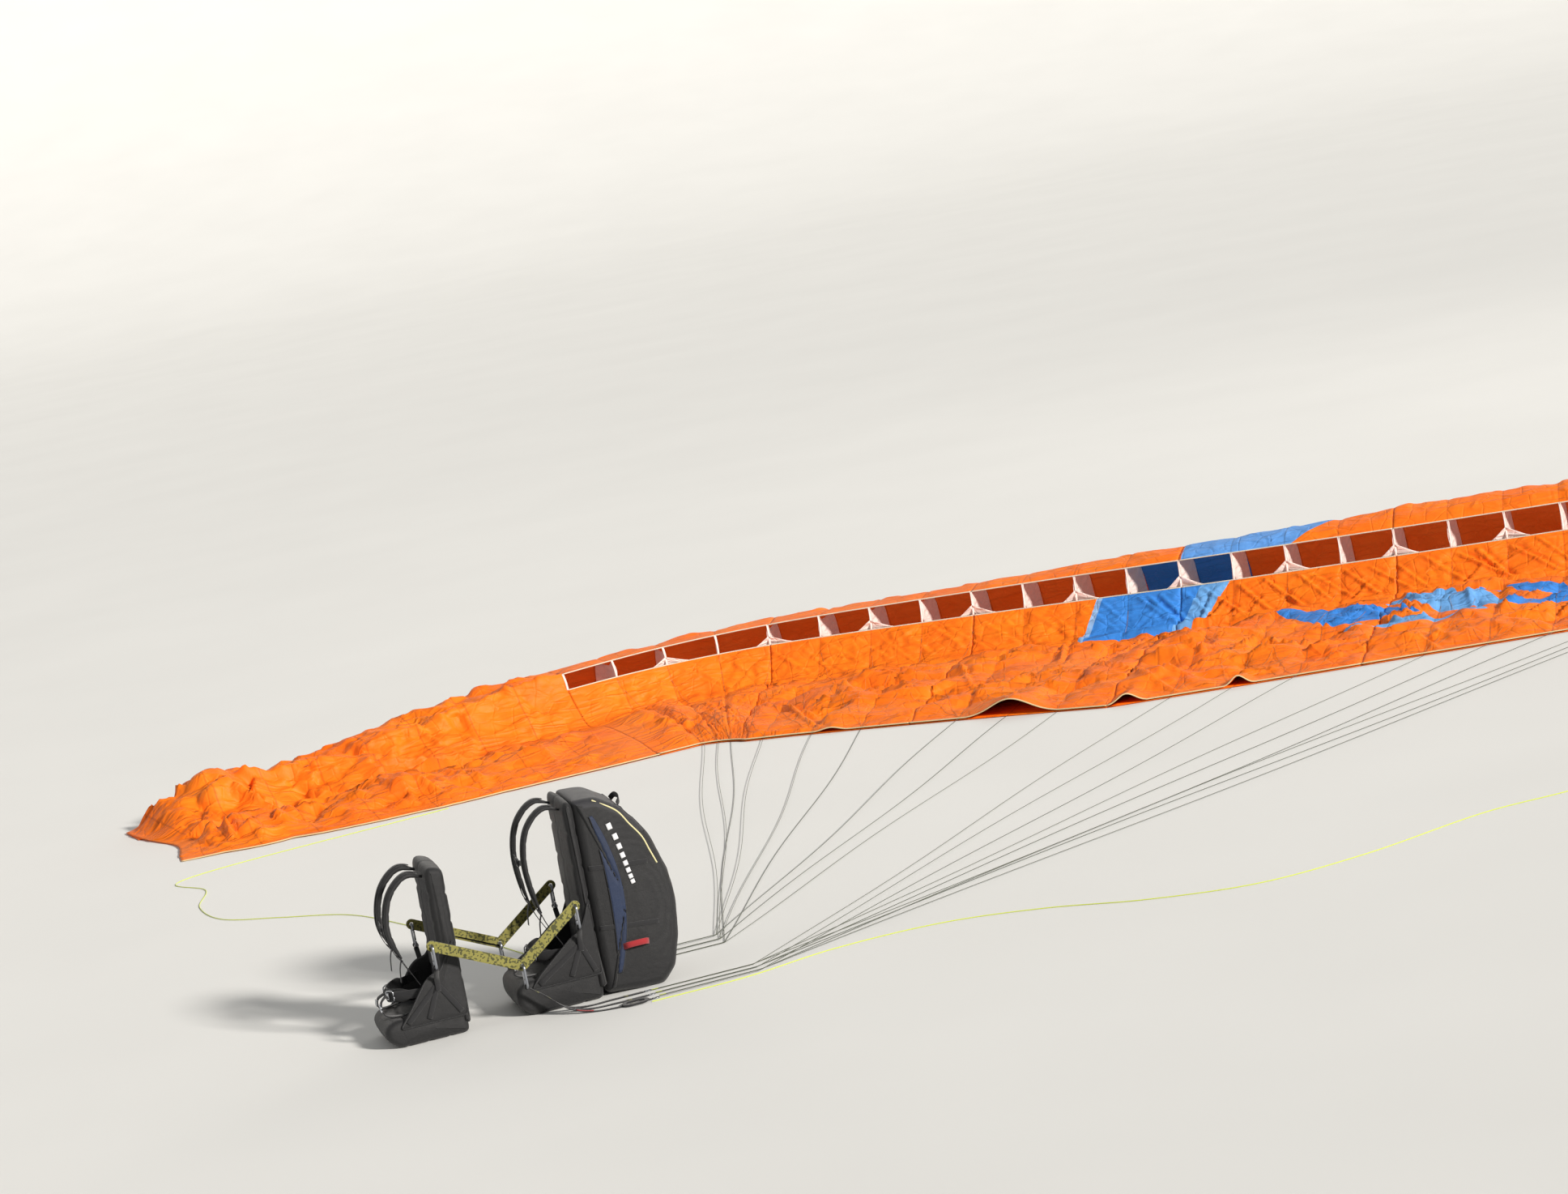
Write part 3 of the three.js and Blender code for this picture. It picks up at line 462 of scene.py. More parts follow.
def normals_of(points):
    """The unit normal at every point of a grid."""
    across = np.gradient(points, axis=0)
    along = np.gradient(points, axis=1)
    normal = np.cross(across, along)
    return normal / np.maximum(np.linalg.norm(normal, axis=2, keepdims=True), 1e-12)


def solidify(made, thickness, lining_index=None):
    """Give a sheet its thickness, and its other side another material."""
    modifier = made.modifiers.new("thickness", "SOLIDIFY")
    modifier.thickness, modifier.offset, modifier.use_even_offset = thickness, 0.0, False
    if lining_index is not None:
        modifier.material_offset = lining_index
    bpy.context.view_layer.objects.active = made
    with bpy.context.temp_override(object=made, active_object=made):
        bpy.ops.object.modifier_apply(modifier=modifier.name)


print("a 3 by 3 grid has", len(grid_faces(3, 3)), "faces, and", len(grid_faces(3, 3, True)), "when closed")

# %% [markdown]
# ### Cords
# `tube` makes all round or flattened cords that belong to one piece as one mesh: a ring of points round
# each point of a line, with a map in metres and both ends closed.

# %% Cords
def tube(name, lines, radius, body, material, sides, flat=1.0):
    """One mesh of round or flattened cords along several lines of points."""
    points, faces, uv, base = [], [], [], 0
    for line in lines:
        line = np.asarray(line, float)
        tangent = np.gradient(line, axis=0)
        tangent /= np.maximum(np.linalg.norm(tangent, axis=1, keepdims=True), 1e-12)
        side = np.cross(tangent, [0, 0, 1.0])
        side /= np.maximum(np.linalg.norm(side, axis=1, keepdims=True), 1e-9)
        out = np.cross(side, tangent)
        turn = 2 * math.pi * (np.arange(sides) + 0.5) / sides
        ring = line[:, None] + radius * (
            np.cos(turn)[None, :, None] * side[:, None] + flat * np.sin(turn)[None, :, None] * out[:, None]
        )
        points.append(ring)
        uv.append(map_pairs(run_along(line)[:, None], radius * turn))
        faces += (grid_faces(len(line), sides, True) + base).tolist() + cap_faces(len(line), sides, base)
        base += len(line) * sides
    return keep_faces(name, points, faces, uv, body, material)


print("a cord with 6 sides has", len(grid_faces(2, 6, True)) + len(cap_faces(2, 6)), "faces for each step")

# %% [markdown]
# ## The rig's directions
# The harnesses and bars face away from the wing, turned 48 degrees towards -X. `rig` gives a point ahead,
# to the left and up from the pilot's hang axis. `centripetal` draws a curve through points without loops or
# cusps, however unevenly they lie, which suits cords and straps.

# %% Rig directions
TURN = math.radians(48)
AHEAD = np.array([-math.sin(TURN), -math.cos(TURN), 0])
LEFT = np.array([math.cos(TURN), -math.sin(TURN), 0])
RIG_AT = np.array([-0.4491, -3.4609, 0])
UP = np.array([0, 0, 1.0])
BRAKE_UP = 0.0021


def rig(ahead, left, up):
    """A point given from the pilot's hang axis."""
    return RIG_AT + AHEAD * ahead + LEFT * left + UP * up


def centripetal(points, count):
    """A smooth curve through the points, evenly spaced along its length."""
    p = np.asarray(points, float)
    p = np.vstack([2 * p[0] - p[1], p, 2 * p[-1] - p[-2]])
    out = []
    for i in range(len(p) - 3):
        q = p[i : i + 4]
        t = np.concatenate(
            [[0], np.cumsum(np.maximum(np.linalg.norm(np.diff(q, axis=0), axis=1), 1e-9) ** 0.5)]
        )
        x = np.linspace(t[1], t[2], 40, endpoint=False)[:, None]
        a = [
            (t[k + 1] - x) / (t[k + 1] - t[k]) * q[k] + (x - t[k]) / (t[k + 1] - t[k]) * q[k + 1]
            for k in range(3)
        ]
        b = [
            (t[k + 2] - x) / (t[k + 2] - t[k]) * a[k] + (x - t[k]) / (t[k + 2] - t[k]) * a[k + 1]
            for k in range(2)
        ]
        out.append((t[2] - x) / (t[2] - t[1]) * b[0] + (x - t[1]) / (t[2] - t[1]) * b[1])
    out.append(p[-2:-1])
    return evenly(np.vstack(out), count)


def evenly(line, count):
    """The same line with evenly spaced points."""
    line = np.asarray(line, float)
    length = run_along(line)
    at = np.linspace(0, length[-1], count)
    return np.stack([np.interp(at, length, line[:, k]) for k in range(3)], axis=1)


def length_of(line):
    return float(np.linalg.norm(np.diff(line, axis=0), axis=1).sum())


print("rig ahead", AHEAD.round(3), "left", LEFT.round(3))

# %% [markdown]
# ## The brake lines
# These are the only free cords: 4 mm braid that lies slack on the ground from each handle to the wing tip's
# trailing edge. Each is a Blender curve with a round bevel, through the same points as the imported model's,
# so that its length can be read off the curve.

# %% Brake lines
BRAKE_POINTS = {
    "left": [(0.00042, -3.65139)]
    + [(RIG_AT[0] + x, RIG_AT[1] + y) for x, y in (
        (0.75, 0.09), (1.0, 0.45), (1.38, 0.75), (1.8, 0.87), (2.25, 0.9), (2.7, 1.04), (3.05, 1.39),
        (3.4, 1.94), (3.85, 2.43),
    )]
    + [(3.44489, 1.85512)],
    "right": [(-0.59156, -2.99393)]
    + [(RIG_AT[0] + x, RIG_AT[1] + y) for x, y in (
        (-0.56, 0.6), (-1.06, 0.93), (-1.7, 1.3), (-2.27, 1.6), (-2.7, 1.64), (-3.07, 1.68), (-3.42, 1.96),
        (-3.64, 2.32), (-3.97, 2.52),
    )]
    + [(-3.46054, 0.28957)],
}
BRAKE_DIAMETER = 0.004

for side, points in BRAKE_POINTS.items():
    line = centripetal([(x, y, BRAKE_UP) for x, y in points], 160)
    curve = bpy.data.curves.new("brake_cord_" + side, "CURVE")
    curve.dimensions = "3D"
    curve.bevel_depth = BRAKE_DIAMETER / 2
    curve.bevel_resolution = 2
    spline = curve.splines.new("POLY")
    spline.points.add(len(line) - 1)
    for point, at in zip(spline.points, line):
        point.co = (*at, 1)
    brake = bpy.data.objects.new("brake_cord_" + side, curve)
    bpy.context.scene.collection.objects.link(brake)
    curve.materials.append(yellow_braid)
    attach(brake, "root")
    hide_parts("brake_line_" + side)
    print("brake line", side, round(length_of(line), 2), "m")

# %% [markdown]
# ## The wing's plan
# The inlets follow a plan curve that is given by its heading, turned step by step into places. A table gives
# the heights and the depth along it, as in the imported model, and `place` turns a distance along the curve
# and a distance forward of it into a point.

# %% Wing plan
LIP_CENTRE = (-0.2188, 3.2499)
HEADINGS = np.array([(-6.7, 50), (-3.5, 50), (-2.3, 13), (0, 8), (2.3, 12), (4.6, -46), (6.7, -52)])
# distance along the plan curve, height of the lower lip, height of the inlets, rise of the nose, depth
SPAN_TABLE = np.array([
    (-6.6, 0.060, 0.020, 0.020, 0.70), (-6.0, 0.150, 0.030, 0.040, 0.95), (-5.0, 0.240, 0.075, 0.005, 1.25),
    (-3.5, 0.255, 0.095, -0.016, 1.40), (-2.0, 0.255, 0.125, -0.010, 1.60), (0.0, 0.250, 0.150, 0.045, 1.95),
    (1.5, 0.265, 0.150, 0.080, 1.65), (2.4, 0.275, 0.150, 0.090, 1.50), (5.0, 0.240, 0.075, 0.030, 1.30),
    (6.0, 0.150, 0.030, 0.040, 0.95), (6.6, 0.060, 0.020, 0.020, 0.70),
])
TIP_START = 12 * CELL
TIP_LENGTH = 2.62
CREASE = 0.26  # how far forward of the inlets the steep band meets the rest
HEM_UP = 0.0105  # the lower skin's height at the trailing edge, over the layers under it
LAYER_UP = 0.004  # the height of the layer on the ground

walk = np.linspace(-7, 7, 2801)
turn = np.radians(np.interp(walk, HEADINGS[:, 0], HEADINGS[:, 1]))
step = walk[1] - walk[0]
plan_x = np.cumsum(np.cos(turn)) * step
plan_y = np.cumsum(np.sin(turn)) * step
plan_x += LIP_CENTRE[0] - np.interp(0, walk, plan_x)
plan_y += LIP_CENTRE[1] - np.interp(0, walk, plan_y)


def place(s, u, z):
    """Points of the wing at distances s along the plan curve, u forward of the inlets and z up."""
    heading = np.interp(s, walk, turn)
    x = np.interp(s, walk, plan_x) + np.sin(heading) * u
    y = np.interp(s, walk, plan_y) - np.cos(heading) * u
    return np.stack([x, y, np.broadcast_to(z, x.shape)], axis=-1)


print("plan curve ends", [(x.round(2), y.round(2)) for x, y in zip(plan_x[[0, -1]], plan_y[[0, -1]])])

# %% [markdown]
# ### The wing's sections
# At each place along the curve a section gives the lower skin, from the lip down to a crease and on over the
# ground to the trailing edge, and the upper skin, from above the inlet over the nose, down the back and
# forward again underneath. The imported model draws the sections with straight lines, and here the same
# points carry smooth curves.

# %% Wing sections
def depth_at(s):
    """How far the cloth reaches forward of the inlets, at one place along the span."""
    return float(np.interp(s, SPAN_TABLE[:, 0], SPAN_TABLE[:, 4]))


def section_lines(s):
    """The control points of the lower and the upper skin, each as (u, z) at the stations s."""
    lip, inlet, crown, depth = (np.interp(s, SPAN_TABLE[:, 0], SPAN_TABLE[:, k]) for k in (1, 2, 3, 4))
    top, band = lip + inlet, depth - CREASE
    one = np.ones_like(s)
    lower = [
        (0 * one, lip), (0.45 * CREASE * one, 0.55 * lip), (CREASE * one, 0.055 * one),
        (CREASE + 0.3 * band, 0.085 * one), (CREASE + 0.7 * band, 0.055 * one),
        (depth - 0.06, HEM_UP * one), (depth, HEM_UP * one),
    ]
    upper = [
        (-0.04 * one, top), (-0.11 * one, top + 0.7 * crown), (-0.24 * one, top + crown),
        (-0.38 * one, top - 0.03), (-0.47 * one, 0.45 * top),
        (-0.45 * one, 0.0 * one), (-0.2 * one, 0.0 * one), (depth, 0.0 * one),
    ]
    return lower, upper


def through(points, t):
    """A curve through the control points of every section, at shares t of the way."""
    p = np.stack([map_pairs(*q) for q in points])  # control, station, (u, z)
    count = len(points) - 1
    at = np.clip(t * count, 0, count - 1e-6)
    k = at.astype(int)
    f = (at - k)[:, None, None]
    a, b, c, d = (p[np.clip(k + next_one, 0, count)] for next_one in (-1, 0, 1, 2))
    m0, m1 = 0.4 * (c - a), 0.4 * (d - b)
    h = (
        (2 * f**3 - 3 * f**2 + 1) * b + (f**3 - 2 * f**2 + f) * m0 + (-2 * f**3 + 3 * f**2) * c
        + (f**3 - f**2) * m1
    )
    return h[..., 0].T, h[..., 1].T  # station, along the section


print("depth", depth_at(0), "m in the middle and", round(depth_at(TIP_START), 2), "m where the tips start")

# %% [markdown]
# ### Folds
# Slack ripstop doesn't undulate, it creases: facets with sharp ridges between them. Adding up a few
# octaves of ridged noise, each bent by a slow one, gives that look, and stretching the noise lines the
# ridges up as tension does. A cloth simulation of 14 m of wing would take far longer than the rest of the
# scene, so the folds are put in directly.

# %% Folds
FOLD_SEED = 7


def value_noise(x, y, seed):
    """Smooth noise from 0 to 1 on a lattice of random values."""
    table = np.random.default_rng(FOLD_SEED + seed).random((256, 256))
    i, j = np.floor(x).astype(int), np.floor(y).astype(int)
    fx, fy = x - i, y - j
    fx, fy = fx * fx * (3 - 2 * fx), fy * fy * (3 - 2 * fy)
    a, b = table[i % 256, j % 256], table[(i + 1) % 256, j % 256]
    c, d = table[i % 256, (j + 1) % 256], table[(i + 1) % 256, (j + 1) % 256]
    return (a * (1 - fx) + b * fx) * (1 - fy) + (c * (1 - fx) + d * fx) * fy


def ridges(x, y, seed):
    """Noise with sharp crests, from 0 in the hollows to 1 on the crests."""
    return 1 - np.abs(2 * value_noise(x, y, seed) - 1)


def creases(s, v, scale, seed, octaves=3, angle=0.0):
    """Ridged noise of several sizes on the cloth's map, about -0.5 to 0.5."""
    c, d = math.cos(angle), math.sin(angle)
    x, y = c * s + d * v, -d * s + c * v
    x = x + 0.35 * value_noise(s * 2.1, v * 2.1, seed + 90)
    y = y + 0.35 * value_noise(s * 2.1 + 31, v * 2.1, seed + 91)
    total, weight, size = 0, 0, scale
    for k in range(octaves):
        total = total + ridges(x * size + 13 * k, y * size, seed + k) / 1.8**k
        weight += 1 / 1.8**k
        size *= 1.9
    return total / weight - 0.5


print("sample crease", float(creases(np.array([0.3]), np.array([0.4]), 3, 1)[0].round(3)))

# %% [markdown]
# ### Crumples and pleats
# Where the cloth is slack it breaks into flat facets that tilt at random, which `crumple` makes from a
# jittered lattice. A fold that stands out is a `pleat`: a crest beside a hollow along a line of the map.
# `hump` and `ramp` fade things in and out.

# %% Crumples and pleats
def hump(x, centre, width):
    """A bell: 1 at the centre, fading over the width."""
    return np.exp(-(((x - centre) / width) ** 2))


def ramp(x, low, high):
    """From 0 at low to 1 at high, eased at both ends."""
    t = np.clip((x - low) / (high - low), 0, 1)
    return t * t * (3 - 2 * t)


def cell_puff(s):
    """How far a cell swells: 0 at its ribs, 1 in its middle."""
    return np.abs(np.sin(np.pi * s / CELL)) ** 0.7


def crumple(s, v, scale, seed, slope, sharp=9.0, stretch=1.0):
    """Flat facets that tilt at random and meet in sharp folds, as slack ripstop does. Height in metres."""
    rng = np.random.default_rng(FOLD_SEED + seed)
    jitter, tilt = rng.random((64, 64, 2)), rng.normal(0, 1, (64, 64, 2))
    x = s * scale * stretch + 0.5 * value_noise(s * 1.3, v * 1.3, seed + 7)
    y = v * scale + 0.5 * value_noise(s * 1.3 + 9, v * 1.3, seed + 8)
    i, j = np.floor(x).astype(int), np.floor(y).astype(int)
    weight, height = 0, 0
    for di in (-1, 0, 1):
        for dj in (-1, 0, 1):
            a, b = (i + di) % 64, (j + dj) % 64
            dx, dy = x - (i + di + jitter[a, b, 0]), y - (j + dj + jitter[a, b, 1])
            w = np.exp(-sharp * (dx * dx + dy * dy))
            weight = weight + w
            height = height + w * (tilt[a, b, 0] * dx + tilt[a, b, 1] * dy)
    return slope / scale * height / weight


def pleat(s, v, start, end, width, height):
    """A fold along a line of the cloth's map, a crest beside a hollow, that fades out at both ends."""
    run = np.subtract(end, start)
    long = math.hypot(*run)
    t = ((s - start[0]) * run[0] + (v - start[1]) * run[1]) / long**2
    off = ((s - start[0]) * run[1] - (v - start[1]) * run[0]) / long
    fade = ramp(t, 0.0, 0.15) * (1 - ramp(t, 0.75, 1.0))
    return height * fade * (
        np.exp(-((off / width) ** 2)) - 0.6 * np.exp(-(((off - 1.7 * width) / width) ** 2))
    )


print("halfway along, a pleat 20 mm high is", float(pleat(0.5, 0.0, (0, 0), (1, 0), 0.01, 0.02)), "m high")

# %% [markdown]
# ### Folds of the lower skin
# This is the side that shows. Under the inlets a steep band is pulled tight from rib to rib, with slanting
# tension folds in each cell that run down to the left wing. Below its foot the skin is slack, and most of
# its folds run along the span. They are stronger on the left wing, as in the photo, where the cloth was
# pushed together. Each fold is a start, an end, a width and a height, in metres of the skin's map.

# %% Folds of the lower skin
STEEP = 0.36  # length of the steep band, from the lip to the crease
SEAM_WIDTH = 0.012
# places where the trailing edge lifts: distance along the span, width, height
LIFTS = [
    (-0.60, 0.17, 0.085), (0.10, 0.06, 0.05), (0.65, 0.045, 0.05), (2.42, 0.10, 0.05), (-1.75, 0.08, 0.02),
    (3.1, 0.12, 0.04),
]

# tension folds of the steep band
TENSION = []
rng = np.random.default_rng(5)
for k in range(-12, 12):
    strength = 0.35 + 0.65 * float(ramp(np.array(k * CELL), -0.9, 0.5))
    for n in range(2):
        s0 = k * CELL + 0.01 + 0.13 * n + rng.uniform(-0.03, 0.03)
        v0, drop, run = rng.uniform(-0.02, 0.04), rng.uniform(0.22, 0.36), rng.uniform(0.22, 0.34)
        TENSION.append(
            ((s0, v0), (s0 + run, v0 + drop), rng.uniform(0.009, 0.012), strength * rng.uniform(0.013, 0.021))
        )
    if k % 2:
        s0 = k * CELL + rng.uniform(-0.02, 0.02)
        TENSION.append(((s0, 0.36), (s0 + 0.20, 0.12), 0.012, strength * 0.010))
# the long fold across the blue block, then the crests that stand in front of the steep band's foot
TENSION += [
    ((-0.21, 0.02), (0.10, 0.37), 0.014, 0.020), ((0.12, 0.415), (1.40, 0.43), 0.016, 0.036),
    ((-1.40, 0.41), (-0.52, 0.39), 0.015, 0.026), ((-2.45, 0.38), (-1.50, 0.42), 0.015, 0.022),
]
# the fan of folds from the block's lower corner
TENSION += [
    ((0.10, 0.36), (0.10 + 0.34 * math.cos(a), 0.36 - 0.34 * math.sin(a)), 0.012, 0.013)
    for a in (0.25, 0.55, 0.9, 1.25)
]

# sharp folds of the slack part, most of them along the span and some slanting
SLACK_FOLDS = []
for k in range(-12, 12):
    for n in range(6 if k > -2 else 4):
        s0, v0 = (k + rng.uniform(0, 1)) * CELL, rng.uniform(0.42, depth_at(k * CELL) - 0.1)
        angle = rng.choice(
            [rng.normal(0.0, 0.25), rng.normal(0.9, 0.3), rng.normal(-0.9, 0.3)], p=[0.5, 0.3, 0.2]
        )
        reach = rng.uniform(0.25, 0.6) * (1.0 if k > -2 else 1.7)
        end = (s0 + reach * math.cos(angle), v0 + reach * math.sin(angle))
        SLACK_FOLDS.append(((s0, v0), end, rng.uniform(0.012, 0.018), rng.uniform(0.014, 0.028)))
print("folds", len(TENSION), "of the steep band and", len(SLACK_FOLDS), "of the slack part")

# %% [markdown]
# ### Points of a skin
# Every skin starts as a smooth sheet between the section lines, `sheet_base`, and is then moved out along
# its own normal. For the lower skin that is the swelling between the ribs, the tension folds and small
# facets of the steep band, the long folds, crumples and sharp folds of the slack part, the seams over the
# ribs, and a hollow at the foot with a roll above it. At the trailing edge it lies on the layer under it.

# %% Points of the lower skin
def sheet_base(s, u, z):
    """For stations s: their places, the metres down each section, the smooth sheet and its normals."""
    ds = np.sqrt(np.diff(u, axis=1) ** 2 + np.diff(z, axis=1) ** 2)
    v = np.concatenate([np.zeros((len(s), 1)), np.cumsum(ds, axis=1)], axis=1)
    grid_s = np.broadcast_to(s[:, None], v.shape)
    base = place(grid_s, u, z)
    return grid_s, v, base, normals_of(base)


def at_rib(grid_s):
    """1 on the seams over the ribs, fading to 0 beside them."""
    return hump(np.abs((grid_s / CELL + 0.5) % 1 - 0.5) * CELL, 0, SEAM_WIDTH)


def lower_points(s, rows):
    """Points of the lower skin at stations s: an array of station, row, xyz, and the map in metres."""
    lower, _ = section_lines(s)
    u, z = through(lower, np.linspace(0, 1, rows))
    grid_s, v, base, normal = sheet_base(s, u, z)
    total = v[:, -1:]
    if normal[len(s) // 2, 2, 2] < 0 and normal[len(s) // 2, -3, 2] < 0:
        normal = -normal
    steep = 1 - ramp(v, STEEP - 0.06, STEEP + 0.05)
    low = 1 - steep
    edge = np.clip(v / 0.05, 0, 1) * np.clip((total - v) / 0.05, 0, 1)
    strong = ramp(grid_s, -1.2, 0.6)  # the left wing has the stronger folds
    near_hem = ramp(total - v, 0.0, 0.25)
    puff = cell_puff(grid_s) * (0.007 * steep + 0.014 * low * ramp(total - v, 0.0, 0.4))
    tension = sum(
        pleat(grid_s, v, *line) for line in TENSION if s[0] - 0.4 < line[0][0] < s[-1] + 0.4
    ) * np.clip(v / 0.03, 0, 1)
    long_folds = low * creases(grid_s * 0.35, v, 2.6, 21) * 0.075
    tight = crumple(grid_s, v, 7.0, 33, 0.05, 16) + crumple(grid_s, v, 15.0, 34, 0.06, 16)
    slack = crumple(grid_s, v, 3.0, 35, 0.13, 16, stretch=0.6)
    fine = crumple(grid_s, v, 6.5, 36, 0.12, 16, stretch=0.7) + crumple(grid_s, v, 14.0, 37, 0.08, 16)
    slack = slack + (0.5 + 0.5 * strong) * fine + sum(
        pleat(grid_s, v, *line) for line in SLACK_FOLDS if s[0] - 0.6 < line[0][0] < s[-1] + 0.6
    )
    room = np.clip(1 + np.gradient(np.interp(s, walk, turn), s)[:, None] * u, 0.3, 1)
    slack = slack * room
    seam = -0.004 * at_rib(grid_s)
    fall = (
        -(0.022 + 0.040 * strong) * hump(v, STEEP + 0.035, 0.024)
        + (0.008 + 0.030 * strong) * hump(v, STEEP - 0.035, 0.032)
    )
    move = (
        puff + tension + long_folds * near_hem + tight * steep + slack * low * (0.3 + 0.7 * near_hem) + seam
    ) * edge + fall
    move = move * ramp(TIP_START - np.abs(grid_s), 0.0, 0.25)
    points = base + normal * move[..., None]
    for where, width, height in LIFTS:
        points[..., 2] += height * hump(grid_s, where, width) * ramp(0.30 - (total - v), 0.0, 0.28)
    points[..., 2] = np.maximum(points[..., 2], HEM_UP + 0.004 * (1 - ramp(total - v, 0.0, 0.05)))
    return points, map_pairs(grid_s, v), v


sample, _, sample_v = lower_points(np.linspace(-CELL, CELL, 9), 60)
print("the middle section is", round(float(sample_v[4, -1]), 2), "m long, its lip", round(sample[4, 0, 2], 2))

# %% [markdown]
# ### The lower skin
# The skin is sewn from six sections of four cells. Each is one sheet of its own, with a thickness and a
# plain inner side, on a grid of 14 mm, which is about the width of the finest folds.

# %% Lower skin
SECTION_NAMES = ["right_outer", "right_mid", "right_inner", "left_inner", "left_mid", "left_outer"]
SECTION_LENGTH = 4 * CELL
GRID = 0.014
CLOTH = 0.0016


def section_stations(n, spacing=GRID):
    """Places along the span, from one end of section n to the other."""
    start, end = (n - 3) * SECTION_LENGTH, (n - 2) * SECTION_LENGTH
    return np.linspace(start, end, max(2, int(round((end - start) / spacing)) + 1))


lower_edges, cuts = {}, {}
for n, name in enumerate(SECTION_NAMES):
    s = section_stations(n)
    points, uv, v = lower_points(s, int(round((depth_at(s.mean()) + 0.25) / GRID)))
    skin = keep_grid("lower_skin_" + name, points, uv, "root", [lower_cloth, plain_cloth])
    solidify(skin, CLOTH, 1)
    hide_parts("lower_skin_and_ribs_" + name)
    lower_edges[name] = (points[:, 0].copy(), points[:, -1].copy())
    cuts[skin.name] = (SECTION_LENGTH, float(v[:, -1].mean()))
    print(skin.name, points.shape, "cut", [round(x, 2) for x in cuts[skin.name]])

# %% [markdown]
# ### The upper skin
# From in front it shows only as the nose above the inlets. From behind it is the wing's whole back: a row
# of swollen cells that sag over the ribs and spread on the ground. The nose and back are a sheet whose
# inside, which the inlets show, is the lining with its painted glow, and the part that lies flat under the
# lower skin is a plain second layer of the same cloth.

# %% Upper skin
NOSE_SHARE = 5 / 7  # of the upper skin's seven spans, how much is off the ground


def upper_points(s, rows, share=(0.0, 1.0)):
    """Points of the upper skin, or of a share of its section, as `lower_points` gives them."""
    _, upper = section_lines(s)
    u, z = through(upper, np.linspace(*share, rows))
    grid_s, v, base, normal = sheet_base(s, u, z)
    outward = base - place(grid_s, np.full_like(u, -0.2), np.full_like(z, 0.15))
    normal *= np.sign((normal * outward).sum(axis=2, keepdims=True) + 1e-9)
    edge = np.clip(v / 0.05, 0, 1)
    back = ramp(v, 0.15, 0.5)
    puff = cell_puff(grid_s) * (0.003 + 0.030 * ramp(v, 0.30, 0.70))
    folds = (crumple(grid_s, v, 5.0, 51, 0.11) + crumple(grid_s, v, 12.0, 52, 0.09)) * (0.25 + 0.75 * back)
    sag = creases(grid_s * 0.5, v * 0.8, 1.6, 61, octaves=2) * 0.03 * back
    seam = -(0.003 + 0.005 * back) * at_rib(grid_s)
    points = base + normal * ((puff + folds + sag + seam) * edge * ramp(z, -0.01, 0.08))[..., None]
    points[..., 2] = np.maximum(points[..., 2], 0.0015)
    return points, map_pairs(grid_s, v), v


upper_edges = {}
for n, name in enumerate(SECTION_NAMES):
    points, uv, v = upper_points(section_stations(n), 84, (0.0, NOSE_SHARE + 0.02))
    skin = keep_grid("nose_and_back_" + name, points, uv, "root", [upper_cloth, glowing_lining], True)
    upper_edges[name] = points[:, 0].copy()
    flat, flat_uv, flat_v = upper_points(section_stations(n, 0.05), 40, (NOSE_SHARE - 0.02, 1.0))
    flat[..., 2] = LAYER_UP
    under = keep_grid("under_layer_" + name, flat, flat_uv, "root", [plain_cloth])
    solidify(skin, CLOTH, 1)
    solidify(under, CLOTH)
    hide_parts("upper_skin_" + name)
    cuts[skin.name] = (SECTION_LENGTH, float(v[:, -1].mean()))
    cuts[under.name] = (SECTION_LENGTH, float(flat_v[:, -1].mean()))
    print(skin.name, points.shape)

# %% [markdown]
# ### The wing tips
# The outermost cells have no inlets. They lie crumpled in a heap: one skin from the trailing edge over
# the nose and back underneath, with deep creases every which way. The heap keeps the height and outline
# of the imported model's plain tip, and the creases grow towards the tip's end.

# %% Wing tips
TIP_FOLDS = []
for n in range(34):
    s0, v0 = TIP_START + rng.uniform(0.1, TIP_LENGTH - 0.2), rng.uniform(0.1, 1.3)
    angle = rng.choice([rng.normal(0.0, 0.3), rng.normal(1.3, 0.3)], p=[0.65, 0.35])
    reach = rng.uniform(0.25, 0.6)
    end = (s0 + reach * math.cos(angle), v0 + reach * math.sin(angle))
    TIP_FOLDS.append(((s0, v0), end, rng.uniform(0.016, 0.026), rng.uniform(0.015, 0.035)))


